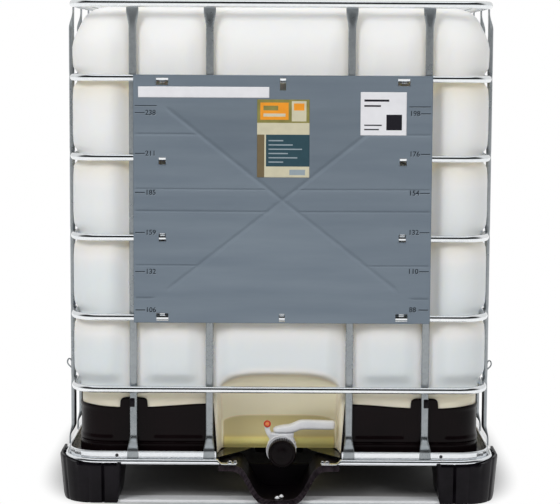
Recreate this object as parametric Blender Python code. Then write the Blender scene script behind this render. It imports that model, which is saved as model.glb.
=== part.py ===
"""Caged intermediate bulk container of about 1000 litres.

A blow-moulded bottle stands in a steel tray, inside a cage of round ring tubes and oval posts, on a
pallet of nine plastic feet.  The valve side faces -Y.  Metres, +Z up, origin under the middle.
"""
import math

import bmesh
import bpy
from mathutils import Vector

# Overall and cage
PALLET_WIDTH = 1.000
PALLET_LENGTH = 1.200
OVERALL_HEIGHT = 1.133
CAGE_WIDTH = 0.948
CAGE_LENGTH = 1.148
GAP = 0.0003

RING_TUBE = 0.016
RING_CORNER = 0.058
RING_HEIGHTS = (0.957, 0.780, 0.601, 0.421, 0.2565)
RIM_TUBE = 0.018
CROSSBAR_FLAT = 0.0027
CROSSBAR_PLACE = 0.190
CROSSBAR_WIDTH = 0.024
CROSSBAR_DEPTH = 0.012
CROSSBAR_DROP = 0.0005
CROSSBAR_END = 0.001
CROSSBAR_FLAT_WIDTH = 0.0288
CROSSBAR_LAP = 0.002
CROSSBAR_STEP = 0.020

POST_WIDTH = 0.018
POST_DEPTH = 0.012
POST_FLAT_WIDTH = 0.030
POST_FLAT = 0.003
POST_SQUARENESS = 0.8
POST_FOOT_FLAT = 0.001
POST_FOOT_SPLAY = 0.033
POST_TOP_FLAT = 0.015
POST_TOP_SPLAY = 0.039
POST_TOP_END = 0.007
SIDE_POST_FOOT = 0.004
FRONT_POSTS = (-0.330, -0.158, 0.158, 0.330)
SIDE_POSTS = (-0.420, -0.255, -0.090, 0.090, 0.255, 0.420)

# Base ring and tray
BASE_TUBE = 0.014
BASE_HEIGHT = 0.095
BASE_CORNER = 0.080
BASE_SETBACK = 0.0075
BASE_END_FLAT = 0.004
BASE_END_WIDTH = 0.0175
BASE_END_REACH = 0.040
BASE_STEP_LOW = 0.008
BASE_STEP_HIGH = 0.005
TRAY_SHEET = 0.002
TRAY_FLOOR = 0.0965
TRAY_LIP_TOP = 0.1155
TRAY_NOTCH_FRONT = 0.142
TRAY_NOTCH_BACK = 0.075

# Feet
FOOT_LIP_TOP = 0.1035
FOOT_CORNER = 0.080
FOOT_WIDTH = 0.146
FOOT_LENGTH = 0.170
FOOT_EDGE = 0.012
FOOT_GROOVE = 0.006
FOOT_GROOVE_SETBACK = 0.006
SIDE_FOOT_LENGTH = 0.150
SIDE_FOOT_DEPTH = 0.100
CENTRE_FOOT = 0.140
FOOT_DRAFT = 0.010
SKID_SHEET = 0.006
SKID_WIDTH = 0.045
SKID_SETBACK = 0.016
SKID_SIDE_SETBACK = 0.022
SKID_CORNER = 0.110

# Drip trough that is the middle foot of the valve side
TROUGH_SETBACK = 0.002
TROUGH_DEPTH = 0.148
TROUGH_BACK_WALL = 0.008
TROUGH_BACK_HEIGHT = 0.062
TROUGH_EAR_END = 0.136
TROUGH_EAR_TOP = 0.0880
TROUGH_EAR_SHEET = 0.012
TROUGH_FLOOR = 0.013

# Bottle
BOTTLE_WALL = 0.003
BOTTLE_CORNER = 0.070
BOTTLE_TOP = 1.117
SHOULDER_RISE = 0.093
SHOULDER_INSET = 0.090
BOTTLE_FOOT = 0.045
WAIST_HEIGHT = 0.236
GUARD_SHEET = 0.004
RECESS_RADIUS = 0.130
RECESS_DEPTH = 0.038
RECESS_TAPER = 0.015
RECESS_OVERLAP = 0.004
NECK_BORE = 0.144
NECK_WALL = 0.007
NECK_HEIGHT = 0.028
NICHE_WIDTH = 0.284
NICHE_BACK = 0.455
NICHE_ROOF_BACK = 0.172
NICHE_ROOF_FRONT = 0.277
SUMP_WIDTH = 0.104
SUMP_BACK = 0.320

# Lid
LID_RADIUS = 0.090
LID_SKIRT = 0.0065
LID_PLATE = 0.007
LID_SKIRT_DROP = 0.026
LID_GASKET = 0.003
LID_LUGS = 10
LID_LUG = 0.003
LID_DISH_RADIUS = 0.055
LID_DISH_DEPTH = 0.003
LID_VENT_RADIUS = 0.030

# Label plate
PLATE_WIDTH = 0.664
PLATE_BOTTOM = 0.410
PLATE_TOP = 0.964
PLATE_SHEET = 0.002
PLATE_OFFSET = 0.005
PLATE_EMBOSS = 0.006
PLATE_BORDER = 0.070
HOOK_PLACE = 0.268
HOOK_WIDTH = 0.012
HOOK_SHEET = 0.0015
HOOK_TIP = 0.004
SLOT_WIDTH = 0.016

# Corner guards
GUARD_TOP = 0.220
GUARD_TAB_TOP = 0.234
GUARD_INNER_END = 0.149
GUARD_LEAN = 0.009
GUARD_DIP = 0.009
GUARD_SIDE_END = 0.300
GUARD_TAB_HALF = 0.030

# Valve, measured outward from the wall of the niche
VALVE_X = 0.007
VALVE_Z = 0.107
VALVE_BORE = 0.050
SPIGOT_LENGTH = 0.015
VALVE_TUBE = 0.058
VALVE_GASKET = 0.003
COLLAR_RADIUS = 0.0325
COLLAR_LENGTH = 0.0115
NUT_LUG = 0.0015
NUT_FLANGE = 0.0025
NUT_LUGS = 12
STEM_DISTANCE = 0.050
STEM_RADIUS = 0.004
STEM_DEPTH = 0.015
STEM_END = 0.011
DISC_SHEET = 0.004
DISC_HUB = 0.006
BOSS_HALF_WIDTH = 0.031
BOSS_HALF_DEPTH = 0.016
BOSS_TOP = 0.146
MOULDED_SQUARENESS = 0.6
SHIELD_RADIUS = 0.0365
SHIELD_DISTANCE = 0.068
SHIELD_SHEET = 0.006
OUTLET_RADIUS = 0.0280
OUTLET_LENGTH = 0.098
CAP_RADIUS = 0.0318
CAP_FRONT = 0.0039
CAP_RIBS = 12
SEAL_SHEET = 0.0025
HANDLE_LENGTH = 0.1215
PIN_X = -0.034
PIN_Z = 0.167
PIN_RING = 0.0065
PIN_WIRE = 0.0018
PIN_EAR = 0.006
PIN_BRIDGE = 0.002
EAR_ROOT = 0.004
EAR_HALF = 0.006
EAR_CORNER = 0.003


# Shared building steps

def material(name, colour, roughness, metallic=0.0):
    made = bpy.data.materials.new(name)
    made.use_nodes = True
    shader = made.node_tree.nodes["Principled BSDF"]
    shader.inputs["Base Color"].default_value = (*colour, 1.0)
    shader.inputs["Roughness"].default_value = roughness
    shader.inputs["Metallic"].default_value = metallic
    return made


def add_object(name, shape, finish=None, origin=(0.0, 0.0, 0.0), sharp_angle=35.0):
    """Turn a bmesh into an object whose origin lies at the given point."""
    origin = Vector(origin)
    bmesh.ops.recalc_face_normals(shape, faces=shape.faces)
    bmesh.ops.translate(shape, verts=shape.verts, vec=-origin)
    mesh = bpy.data.meshes.new(name)
    shape.to_mesh(mesh)
    shape.free()
    mesh.shade_smooth()
    mesh.set_sharp_from_angle(angle=math.radians(sharp_angle))
    made = bpy.data.objects.new(name, mesh)
    made.location = origin
    if finish is not None:
        mesh.materials.append(finish)
    bpy.context.scene.collection.objects.link(made)
    return made


def add_cutter(name, shape):
    made = add_object(name, shape)
    made.hide_render = True
    made.display_type = "WIRE"
    return made


def combine(target, tool, operation):
    change = target.modifiers.new(tool.name, "BOOLEAN")
    change.operation = operation
    change.solver = "EXACT"
    change.object = tool


def loft(loops, closed=False):
    """Bridge loops of equal length; an open loft gets a flat cap at each end."""
    shape = bmesh.new()
    rows = [[shape.verts.new(point) for point in loop] for loop in loops]
    count = len(rows[0])
    pairs = list(zip(rows, rows[1:]))
    if closed:
        pairs.append((rows[-1], rows[0]))
    for first, second in pairs:
        for i in range(count):
            j = (i + 1) % count
            shape.faces.new((first[i], first[j], second[j], second[i]))
    if not closed:
        shape.faces.new(rows[0])
        shape.faces.new(rows[-1])
    return shape


def prism(outline, direction):
    """Extrude a flat outline of points along a vector."""
    direction = Vector(direction)
    near = [Vector(point) for point in outline]
    return loft([near, [point + direction for point in near]])


def box(low, high):
    outline = [(low[0], low[1], low[2]), (high[0], low[1], low[2]),
               (high[0], high[1], low[2]), (low[0], high[1], low[2])]
    return prism(outline, (0.0, 0.0, high[2] - low[2]))


def rectangle_stations(half_x, half_y, radius, steps=5):
    """Points round a rounded rectangle, each with its outward direction."""
    stations = []
    for quarter in range(4):
        sign_x = (1, -1, -1, 1)[quarter]
        sign_y = (1, 1, -1, -1)[quarter]
        for step in range(steps + 1):
            angle = math.radians(90.0 * (quarter + step / steps))
            outward = Vector((math.cos(angle), math.sin(angle), 0.0))
            centre = Vector((sign_x * (half_x - radius), sign_y * (half_y - radius), 0.0))
            stations.append((centre + radius * outward, outward))
    return stations


def rectangle_loop(half_x, half_y, radius, height, steps=5):
    return [point + Vector((0.0, 0.0, height))
            for point, _ in rectangle_stations(half_x, half_y, radius, steps)]


def ring_tube(half_x, half_y, corner, height, radius, sides=8):
    """A closed round tube along a rounded rectangle."""
    loops = []
    for point, outward in rectangle_stations(half_x, half_y, corner):
        centre = point + Vector((0.0, 0.0, height))
        loops.append(circle(centre, outward, Vector((0.0, 0.0, 1.0)), radius, sides))
    return loft(loops, closed=True)


def oval(centre, side, up, half_width, half_height, sides=8, squareness=1.0):
    """A superellipse with flat sides: squareness 1 is a true ellipse, and less is boxier."""
    points = []
    widest = math.cos(math.pi / sides) ** squareness
    for i in range(sides):
        angle = math.tau * (i + 0.5) / sides
        across = math.copysign(abs(math.cos(angle)) ** squareness, math.cos(angle)) / widest
        rise = math.copysign(abs(math.sin(angle)) ** squareness, math.sin(angle)) / widest
        points.append(centre + across * half_width * side + rise * half_height * up)
    return points


def circle(centre, side, up, radius, sides=8):
    points = []
    for i in range(sides):
        angle = math.tau * i / sides
        points.append(centre + radius * (math.cos(angle) * side + math.sin(angle) * up))
    return points


def turned(profile, centre, axis, segments=24, closed=True, lugs=0, lug_height=0.0):
    """Turn (radius, distance) pairs round an axis; radii marked by a third value carry grip lugs."""
    axis = Vector(axis)
    side = Vector((1.0, 0.0, 0.0))
    up = axis.cross(side)
    loops = []
    for entry in profile:
        loop = []
        for i in range(segments):
            angle = math.tau * i / segments
            radius = entry[0]
            if len(entry) == 3:
                radius += lug_height * max(0.0, math.cos(lugs * angle))
            place = radius * (math.cos(angle) * side + math.sin(angle) * up)
            loop.append(Vector(centre) + place + entry[1] * axis)
        loops.append(loop)
    return loft(loops, closed=closed)


# Places that several pieces share

CAGE_HALF_X = CAGE_WIDTH / 2
CAGE_HALF_Y = CAGE_LENGTH / 2
POST_SETBACK = RING_TUBE + GAP + POST_DEPTH / 2
POST_INNER_SETBACK = RING_TUBE + GAP + POST_DEPTH
BOTTLE_HALF_X = CAGE_HALF_X - RING_TUBE - GAP
BOTTLE_HALF_Y = CAGE_HALF_Y - POST_INNER_SETBACK - GAP
WAIST_SETBACK = GUARD_SHEET + GAP
BASE_HALF_X = PALLET_WIDTH / 2 - BASE_SETBACK - BASE_TUBE / 2
BASE_HALF_Y = PALLET_LENGTH / 2 - BASE_SETBACK - BASE_TUBE / 2
LIP_REACH = BASE_TUBE / 2 + GAP
RIM_HEIGHT = OVERALL_HEIGHT - CROSSBAR_FLAT - GAP - RIM_TUBE / 2
BOTTLE_BOTTOM = TRAY_FLOOR + GAP
RECESS_FLOOR = BOTTLE_TOP - RECESS_DEPTH
NECK_TOP = RECESS_FLOOR + NECK_HEIGHT
NECK_RADIUS = NECK_BORE / 2 + NECK_WALL
GUARD_BOTTOM = TRAY_FLOOR + GAP
VALVE_WALL = Vector((VALVE_X, -NICHE_BACK, VALVE_Z))
OUTWARD = Vector((0.0, -1.0, 0.0))
STEM_PLACE = VALVE_WALL + STEM_DISTANCE * OUTWARD
NUT_RADIUS = BOSS_TOP - VALVE_Z - NUT_LUG - 2 * GAP
TROUGH_FRONT = PALLET_LENGTH / 2 - TROUGH_SETBACK


# Cage

def cage_rings(steel):
    half_x = CAGE_HALF_X - RING_TUBE / 2
    half_y = CAGE_HALF_Y - RING_TUBE / 2
    for number, height in enumerate(RING_HEIGHTS, start=1):
        shape = ring_tube(half_x, half_y, RING_CORNER, height, RING_TUBE / 2)
        add_object(f"ring_bar_{number}", shape, steel)
    half_x = CAGE_HALF_X - RIM_TUBE / 2
    half_y = CAGE_HALF_Y - RIM_TUBE / 2
    shape = ring_tube(half_x, half_y, RING_CORNER, RIM_HEIGHT, RIM_TUBE / 2, sides=10)
    add_object("top_rim", shape, steel)


def post_stations(foot, body, top):
    """Height, distance from the middle, half width and half depth, from the foot to the rim."""
    flat = (POST_FLAT_WIDTH / 2, POST_FLAT / 2)
    full = (POST_WIDTH / 2, POST_DEPTH / 2)
    half_way = (full[0] + (flat[0] - full[0]) / 3, full[1] / 1.5)
    low = TRAY_LIP_TOP + POST_FOOT_FLAT
    high = RIM_HEIGHT - POST_TOP_FLAT
    return [(foot[1], foot[0], *flat),
            (low, foot[0], *flat),
            (low + POST_FOOT_SPLAY / 2, (foot[0] + body) / 2, *half_way),
            (low + POST_FOOT_SPLAY, body, *full),
            (high - POST_TOP_SPLAY, body, *full),
            (high - POST_TOP_SPLAY / 2, (body + top) / 2, *half_way),
            (high, top, *flat),
            (RIM_HEIGHT + POST_TOP_END, top, *flat)]


def foot_over_base(offset):
    """Height at which a flat end, this far from the base tube's centreline, rests on the tube."""
    nearest = abs(offset) - POST_FLAT / 2
    return BASE_HEIGHT + math.sqrt(LIP_REACH ** 2 - nearest ** 2)


def add_post(name, steel, outward, along, place, stations):
    loops = []
    for height, distance, half_width, half_depth in stations:
        centre = outward * distance + along * place + Vector((0.0, 0.0, height))
        loops.append(oval(centre, along, outward, half_width, half_depth, 8, POST_SQUARENESS))
    add_object(name, loft(loops), steel)


def cage_posts(steel):
    """Front and back posts stand inside the rings, and side posts outside them."""
    across = Vector((1.0, 0.0, 0.0))
    forward = Vector((0.0, 1.0, 0.0))
    inner_offset = LIP_REACH - GAP - POST_FLAT / 2
    end_stations = post_stations((BASE_HALF_Y - inner_offset, foot_over_base(inner_offset)),
                                 CAGE_HALF_Y - POST_SETBACK,
                                 CAGE_HALF_Y - RIM_TUBE - GAP - POST_FLAT / 2)
    side_stations = post_stations((BASE_HALF_X + SIDE_POST_FOOT, foot_over_base(SIDE_POST_FOOT)),
                                  CAGE_HALF_X + GAP + POST_DEPTH / 2,
                                  CAGE_HALF_X + GAP + POST_FLAT / 2)
    walls = (("front", -forward, across, FRONT_POSTS, end_stations),
             ("back", forward, across, FRONT_POSTS, end_stations),
             ("left", -across, forward, SIDE_POSTS, side_stations),
             ("right", across, forward, SIDE_POSTS, side_stations))
    for wall, outward, along, places, stations in walls:
        for number, place in enumerate(places, start=1):
            add_post(f"post_{wall}_{number}", steel, outward, along, place, stations)


def crossbars(steel):
    """Two oval bars whose flattened ends lie on the rim."""
    end = CAGE_HALF_X - CROSSBAR_END
    lap = end - RIM_TUBE - CROSSBAR_LAP
    flat_height = RIM_HEIGHT + RIM_TUBE / 2 + GAP + CROSSBAR_FLAT / 2
    body_height = OVERALL_HEIGHT - CROSSBAR_DROP - CROSSBAR_DEPTH / 2
    flat = (CROSSBAR_FLAT_WIDTH / 2, CROSSBAR_FLAT / 2)
    body = (CROSSBAR_WIDTH / 2, CROSSBAR_DEPTH / 2)
    half = [(end, flat_height, *flat),
            (lap, flat_height, *flat),
            (lap - CROSSBAR_STEP, body_height, *body)]
    stations = [(-place, *rest) for place, *rest in half] + half[::-1]
    for name, place in (("crossbar_front", -CROSSBAR_PLACE), ("crossbar_back", CROSSBAR_PLACE)):
        loops = []
        for distance, height, half_width, half_depth in stations:
            centre = Vector((distance, place, height))
            loops.append(oval(centre, Vector((0, 1, 0)), Vector((0, 0, 1)), half_width, half_depth))
        add_object(name, loft(loops), steel)


# Pallet

def base_ring(steel):
    """A tube round the pallet whose two flattened ends step down onto the ears of the trough."""
    up = Vector((0.0, 0.0, 1.0))
    radius = BASE_TUBE / 2
    flat_side = math.cos(math.pi / 8)
    front = -BASE_HALF_Y
    end_height = TROUGH_EAR_TOP + GAP + BASE_END_FLAT / 2
    flat_end = (BASE_END_WIDTH / 2, BASE_END_FLAT / 2)
    ends = [(TROUGH_EAR_END - BASE_END_REACH, end_height, *flat_end),
            (TROUGH_EAR_END - BASE_STEP_LOW, end_height, *flat_end),
            (TROUGH_EAR_END + BASE_STEP_HIGH, BASE_HEIGHT, radius * flat_side, radius * flat_side)]
    loops = []
    for place, height, half_width, half_height in ends:
        loops.append(oval(Vector((place, front, height)), OUTWARD, up, half_width, half_height))
    stations = rectangle_stations(BASE_HALF_X, BASE_HALF_Y, BASE_CORNER)
    per_corner = len(stations) // 4
    in_order = stations[3 * per_corner:] + stations[:3 * per_corner]
    corners = [in_order[:per_corner], in_order[per_corner:2 * per_corner],
               in_order[2 * per_corner:3 * per_corner], in_order[3 * per_corner:]]
    for corner in corners:
        for point, outward in corner:
            loops.append(oval(point + BASE_HEIGHT * up, outward, up, radius * flat_side, radius * flat_side))
    for place, height, half_width, half_height in ends[::-1]:
        loops.append(oval(Vector((-place, front, height)), OUTWARD, up, half_width, half_height))
    add_object("base_ring", loft(loops), steel)


def pallet_tray(steel):
    lip_x = BASE_HALF_X - LIP_REACH
    lip_y = BASE_HALF_Y - LIP_REACH
    corner = BASE_CORNER - LIP_REACH
    inside = TRAY_SHEET
    loops = [rectangle_loop(lip_x, lip_y, corner, TRAY_FLOOR - TRAY_SHEET),
             rectangle_loop(lip_x, lip_y, corner, TRAY_LIP_TOP),
             rectangle_loop(lip_x - inside, lip_y - inside, corner - inside, TRAY_LIP_TOP),
             rectangle_loop(lip_x - inside, lip_y - inside, corner - inside, TRAY_FLOOR)]
    tray = add_object("pallet_tray", loft(loops), steel)
    slot = SUMP_WIDTH / 2 + 0.010
    front = -PALLET_LENGTH / 2
    low = TRAY_FLOOR - 0.02
    half = [(TRAY_NOTCH_FRONT, front), (TRAY_NOTCH_FRONT, -lip_y + 0.03),
            (TRAY_NOTCH_BACK, -NICHE_BACK - 0.01), (slot, -NICHE_BACK + 0.02), (slot, -SUMP_BACK + 0.02)]
    outline = [(x, y, low) for x, y in half] + [(-x, y, low) for x, y in half[::-1]]
    combine(tray, add_cutter("cut_tray_notch", prism(outline, (0, 0, 0.06))), "DIFFERENCE")


def pallet_skid(steel):
    shape = skid_ring(0.0, 0.0, SKID_SHEET)
    add_object("pallet_skid", shape, steel)


def skid_ring(clearance, low, high):
    half_x = PALLET_WIDTH / 2 - SKID_SIDE_SETBACK + clearance
    half_y = PALLET_LENGTH / 2 - SKID_SETBACK + clearance
    corner = SKID_CORNER + clearance
    width = SKID_WIDTH + 2 * clearance
    inner = (half_x - width, half_y - width, corner - width)
    loops = [rectangle_loop(half_x, half_y, corner, low), rectangle_loop(half_x, half_y, corner, high),
             rectangle_loop(*inner, high), rectangle_loop(*inner, low)]
    return loft(loops, closed=True)


def seat_cutter():
    """The space over the feet: the tray inside, a round groove for the base ring, and the lip."""
    loops = []
    reach = LIP_REACH
    seat = TRAY_FLOOR - TRAY_SHEET - GAP
    start = -math.pi - math.asin((seat - BASE_HEIGHT) / reach)
    entries = []
    for step in range(7):
        angle = start * (1 - step / 6)
        entries.append((reach * math.cos(angle), BASE_HEIGHT + reach * math.sin(angle)))
    entries.append((reach, FOOT_LIP_TOP + 0.03))
    for offset, height in entries:
        loops.append(rectangle_loop(BASE_HALF_X + offset, BASE_HALF_Y + offset,
                                    BASE_CORNER + offset, height))
    return loft(loops)


def corner_outline(inset, height, sign_x, sign_y):
    """Plan of a corner foot: one large round corner outside, and a groove in each outer wall."""
    corner = FOOT_CORNER - inset
    x1 = PALLET_WIDTH / 2 - inset
    y1 = PALLET_LENGTH / 2 - inset
    x0 = PALLET_WIDTH / 2 - FOOT_WIDTH + inset / 2
    y0 = PALLET_LENGTH / 2 - FOOT_LENGTH + inset / 2
    groove_x = PALLET_WIDTH / 2 - FOOT_CORNER - FOOT_GROOVE_SETBACK
    groove_y = PALLET_LENGTH / 2 - FOOT_CORNER - FOOT_GROOVE_SETBACK
    half = FOOT_GROOVE / 2
    points = [(x0 + FOOT_EDGE, y0), (x1 - FOOT_EDGE, y0), (x1, y0 + FOOT_EDGE),
              (x1, groove_y - half), (x1 - FOOT_GROOVE, groove_y - half / 2),
              (x1 - FOOT_GROOVE, groove_y + half / 2), (x1, groove_y + half)]
    for step in range(6):
        angle = math.pi / 2 * step / 5
        points.append((x1 - corner + corner * math.cos(angle), y1 - corner + corner * math.sin(angle)))
    points += [(groove_x + half, y1), (groove_x + half / 2, y1 - FOOT_GROOVE),
               (groove_x - half / 2, y1 - FOOT_GROOVE), (groove_x - half, y1),
               (x0 + FOOT_EDGE, y1), (x0, y1 - FOOT_EDGE), (x0, y0 + FOOT_EDGE)]
    return [Vector((sign_x * x, sign_y * y, height)) for x, y in points]


def corner_feet(plastic, seat, skid_space):
    stations = ((FOOT_DRAFT, 0.0), (FOOT_DRAFT / 2, FOOT_DRAFT), (0.0, FOOT_LIP_TOP))
    for name, sign_x, sign_y in (("foot_front_left", -1, -1), ("foot_front_right", 1, -1),
                                 ("foot_back_left", -1, 1), ("foot_back_right", 1, 1)):
        loops = [corner_outline(inset, height, sign_x, sign_y) for inset, height in stations]
        foot = add_object(name, loft(loops), plastic)
        combine(foot, seat, "DIFFERENCE")
        combine(foot, skid_space, "DIFFERENCE")


def middle_feet(plastic, seat, skid_space):
    """Drafted blocks in the middle of the left, right and back sides, and one under the centre."""
    half_x = PALLET_WIDTH / 2
    half_y = PALLET_LENGTH / 2
    long_half = SIDE_FOOT_LENGTH / 2
    places = (("foot_left_middle", -half_x, -half_x + SIDE_FOOT_DEPTH, -long_half, long_half),
              ("foot_right_middle", half_x - SIDE_FOOT_DEPTH, half_x, -long_half, long_half),
              ("foot_back_middle", -long_half, long_half, half_y - SIDE_FOOT_DEPTH, half_y))
    for name, x0, x1, y0, y1 in places:
        foot = add_object(name, drafted_block(x0, x1, y0, y1, FOOT_LIP_TOP), plastic)
        combine(foot, seat, "DIFFERENCE")
        combine(foot, skid_space, "DIFFERENCE")
    half = CENTRE_FOOT / 2
    top = TRAY_FLOOR - TRAY_SHEET - GAP
    add_object("foot_centre", drafted_block(-half, half, -half, half, top), plastic)


def drafted_block(x0, x1, y0, y1, top):
    centre = Vector(((x0 + x1) / 2, (y0 + y1) / 2, 0.0))
    loops = []
    for inset, height in ((FOOT_DRAFT, 0.0), (0.003, 0.020), (0.0, top)):
        loop = rectangle_loop((x1 - x0) / 2 - inset, (y1 - y0) / 2 - inset, FOOT_EDGE, height, steps=2)
        loops.append([point + centre for point in loop])
    return loft(loops)


def front_trough(plastic, skid_space):
    """An open U of moulded plastic below the valve, with a level ear at each side."""
    ear_low = TROUGH_EAR_TOP - TROUGH_EAR_SHEET
    outer = [(0.046, 0.0), (0.056, 0.010), (0.064, 0.026), (0.072, 0.044), (0.080, 0.060),
             (0.091, ear_low - 0.003), (0.104, ear_low), (TROUGH_EAR_END, ear_low)]
    inner = [(TROUGH_EAR_END, TROUGH_EAR_TOP), (0.093, TROUGH_EAR_TOP), (0.081, 0.082),
             (0.063, 0.052), (0.055, 0.034), (0.046, 0.020), (0.036, TROUGH_FLOOR)]
    half = outer + inner
    front = -TROUGH_FRONT
    outline = [(x, front, z) for x, z in half] + [(-x, front, z) for x, z in half[::-1]]
    trough = add_object("foot_front_middle", prism(outline, (0, TROUGH_DEPTH, 0)), plastic)
    back = front + TROUGH_DEPTH - TROUGH_BACK_WALL
    wall_half = [(0.050, 0.002), (0.079, TROUGH_BACK_HEIGHT)]
    wall = [(x, back, z) for x, z in wall_half] + [(-x, back, z) for x, z in wall_half[::-1]]
    back_wall = add_cutter("cut_trough_back", prism(wall, (0, TROUGH_BACK_WALL - 0.001, 0)))
    combine(trough, back_wall, "UNION")
    combine(trough, skid_space, "DIFFERENCE")


# Bottle

def bottle_loops(inset):
    """The bottle's outline at each height, drawn in by the inset."""
    def loop(height, setback):
        half_x = BOTTLE_HALF_X - setback - inset
        half_y = BOTTLE_HALF_Y - setback - inset
        return rectangle_loop(half_x, half_y, BOTTLE_CORNER - inset, height)
    low = BOTTLE_BOTTOM + inset
    foot = BOTTLE_FOOT - inset
    loops = []
    for step in range(4):
        angle = math.pi / 2 * step / 3
        setback = WAIST_SETBACK + foot * (1 - math.sin(angle))
        loops.append(loop(low + foot * (1 - math.cos(angle)), setback))
    loops.append(loop(WAIST_HEIGHT, WAIST_SETBACK))
    loops.append(loop(WAIST_HEIGHT + 0.008, 0.0))
    shoulder = BOTTLE_TOP - SHOULDER_RISE
    rise = SHOULDER_RISE - inset
    for step in range(7):
        angle = math.pi / 2 * step / 6
        setback = SHOULDER_INSET * (1 - math.cos(angle) ** (2 / 3))
        height = shoulder + rise * math.sin(angle) ** (2 / 3)
        loops.append(loop(height, setback))
    return loops


def niche_outline(x, wall):
    """The valve niche in profile: a low back wall, and a roof that slopes up to the front."""
    front = -PALLET_LENGTH / 2
    back = -NICHE_BACK + wall
    slope = (NICHE_ROOF_FRONT - NICHE_ROOF_BACK) / (BOTTLE_HALF_Y - NICHE_BACK)
    roof = NICHE_ROOF_BACK + wall * (math.hypot(1.0, slope) - slope)
    return [(x, front, BOTTLE_BOTTOM - 0.06), (x, back, BOTTLE_BOTTOM - 0.06), (x, back, roof),
            (x, front, roof + slope * (PALLET_LENGTH / 2 - NICHE_BACK + wall))]


def sump(wall):
    """The bulge under the bottle that takes the outlet down to floor level."""
    low = VALVE_Z - VALVE_TUBE / 2 - 0.006 + wall
    top = BOTTLE_BOTTOM + BOTTLE_FOOT
    front = -NICHE_BACK + wall
    back = -SUMP_BACK - wall
    side = VALVE_X - SUMP_WIDTH / 2 + wall
    outline = [(side, front, low), (side, (front + back) / 2, low),
               (side, back, BOTTLE_BOTTOM + 0.004), (side, back, top), (side, front, top)]
    return prism(outline, (SUMP_WIDTH - 2 * wall, 0, 0))


def bottle(plastic):
    wall = BOTTLE_WALL
    half = NICHE_WIDTH / 2
    body = add_object("bottle", loft(bottle_loops(0.0)), plastic)
    recess = turned([(RECESS_RADIUS - RECESS_TAPER, RECESS_FLOOR),
                     (RECESS_RADIUS, BOTTLE_TOP + RECESS_OVERLAP)], (0, 0, 0), (0, 0, 1), closed=False)
    combine(body, add_cutter("cut_bottle_recess", recess), "DIFFERENCE")
    niche = prism(niche_outline(-half, 0.0), (NICHE_WIDTH, 0, 0))
    combine(body, add_cutter("cut_bottle_niche", niche), "DIFFERENCE")
    neck = turned([(NECK_RADIUS, RECESS_FLOOR - wall / 2), (NECK_RADIUS, NECK_TOP)],
                  (0, 0, 0), (0, 0, 1), closed=False)
    combine(body, add_cutter("cut_bottle_neck", neck), "UNION")
    combine(body, add_cutter("cut_bottle_sump", sump(0.0)), "UNION")
    spigot = turned([(VALVE_TUBE / 2, -wall / 2), (VALVE_TUBE / 2, SPIGOT_LENGTH)],
                    VALVE_WALL, OUTWARD, closed=False)
    combine(body, add_cutter("cut_bottle_spigot", spigot), "UNION")

    hollow = add_cutter("cut_bottle_hollow", loft(bottle_loops(wall)))
    recess = turned([(RECESS_RADIUS - RECESS_TAPER + wall, RECESS_FLOOR - wall),
                     (RECESS_RADIUS + wall, BOTTLE_TOP + RECESS_OVERLAP)],
                    (0, 0, 0), (0, 0, 1), closed=False)
    combine(hollow, add_cutter("cut_hollow_recess", recess), "DIFFERENCE")
    niche = prism(niche_outline(-half - wall, wall), (NICHE_WIDTH + 2 * wall, 0, 0))
    combine(hollow, add_cutter("cut_hollow_niche", niche), "DIFFERENCE")
    combine(hollow, add_cutter("cut_hollow_sump", sump(wall)), "UNION")
    combine(body, hollow, "DIFFERENCE")
    neck_bore = turned([(NECK_BORE / 2, RECESS_FLOOR - 2 * wall), (NECK_BORE / 2, NECK_TOP + 0.01)],
                       (0, 0, 0), (0, 0, 1), closed=False)
    combine(body, add_cutter("cut_neck_bore", neck_bore), "DIFFERENCE")
    outlet = turned([(VALVE_BORE / 2, -2 * wall), (VALVE_BORE / 2, SPIGOT_LENGTH + 0.01)],
                    VALVE_WALL, OUTWARD, closed=False)
    combine(body, add_cutter("cut_outlet_bore", outlet), "DIFFERENCE")


def lid(plastic, rubber):
    """Screw lid with a lugged skirt over the neck, and the gasket that it carries."""
    gasket_low = NECK_TOP + GAP
    plate_low = gasket_low + LID_GASKET + GAP
    skirt_inner = LID_RADIUS - LID_SKIRT
    gasket = [(NECK_BORE / 2 + 0.001, gasket_low), (skirt_inner - GAP, gasket_low),
              (skirt_inner - GAP, gasket_low + LID_GASKET), (NECK_BORE / 2 + 0.001, gasket_low + LID_GASKET)]
    place = (0.0, 0.0, gasket_low)
    add_object("lid_gasket", turned(gasket, (0, 0, 0), (0, 0, 1), 32), rubber, place)
    low = plate_low - LID_SKIRT_DROP
    top = plate_low + LID_PLATE
    dish = top - LID_DISH_DEPTH
    profile = [(LID_VENT_RADIUS, plate_low), (skirt_inner, plate_low), (skirt_inner, low),
               (LID_RADIUS, low, 1), (LID_RADIUS, dish, 1), (LID_RADIUS - LID_LUG, top),
               (LID_DISH_RADIUS, top), (LID_DISH_RADIUS - LID_DISH_DEPTH, dish), (LID_VENT_RADIUS, dish)]
    shape = turned(profile, (0, 0, 0), (0, 0, 1), 40, closed=False, lugs=LID_LUGS, lug_height=LID_LUG)
    add_object("fill_lid", shape, plastic, place)


# Label plate and guards

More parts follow.
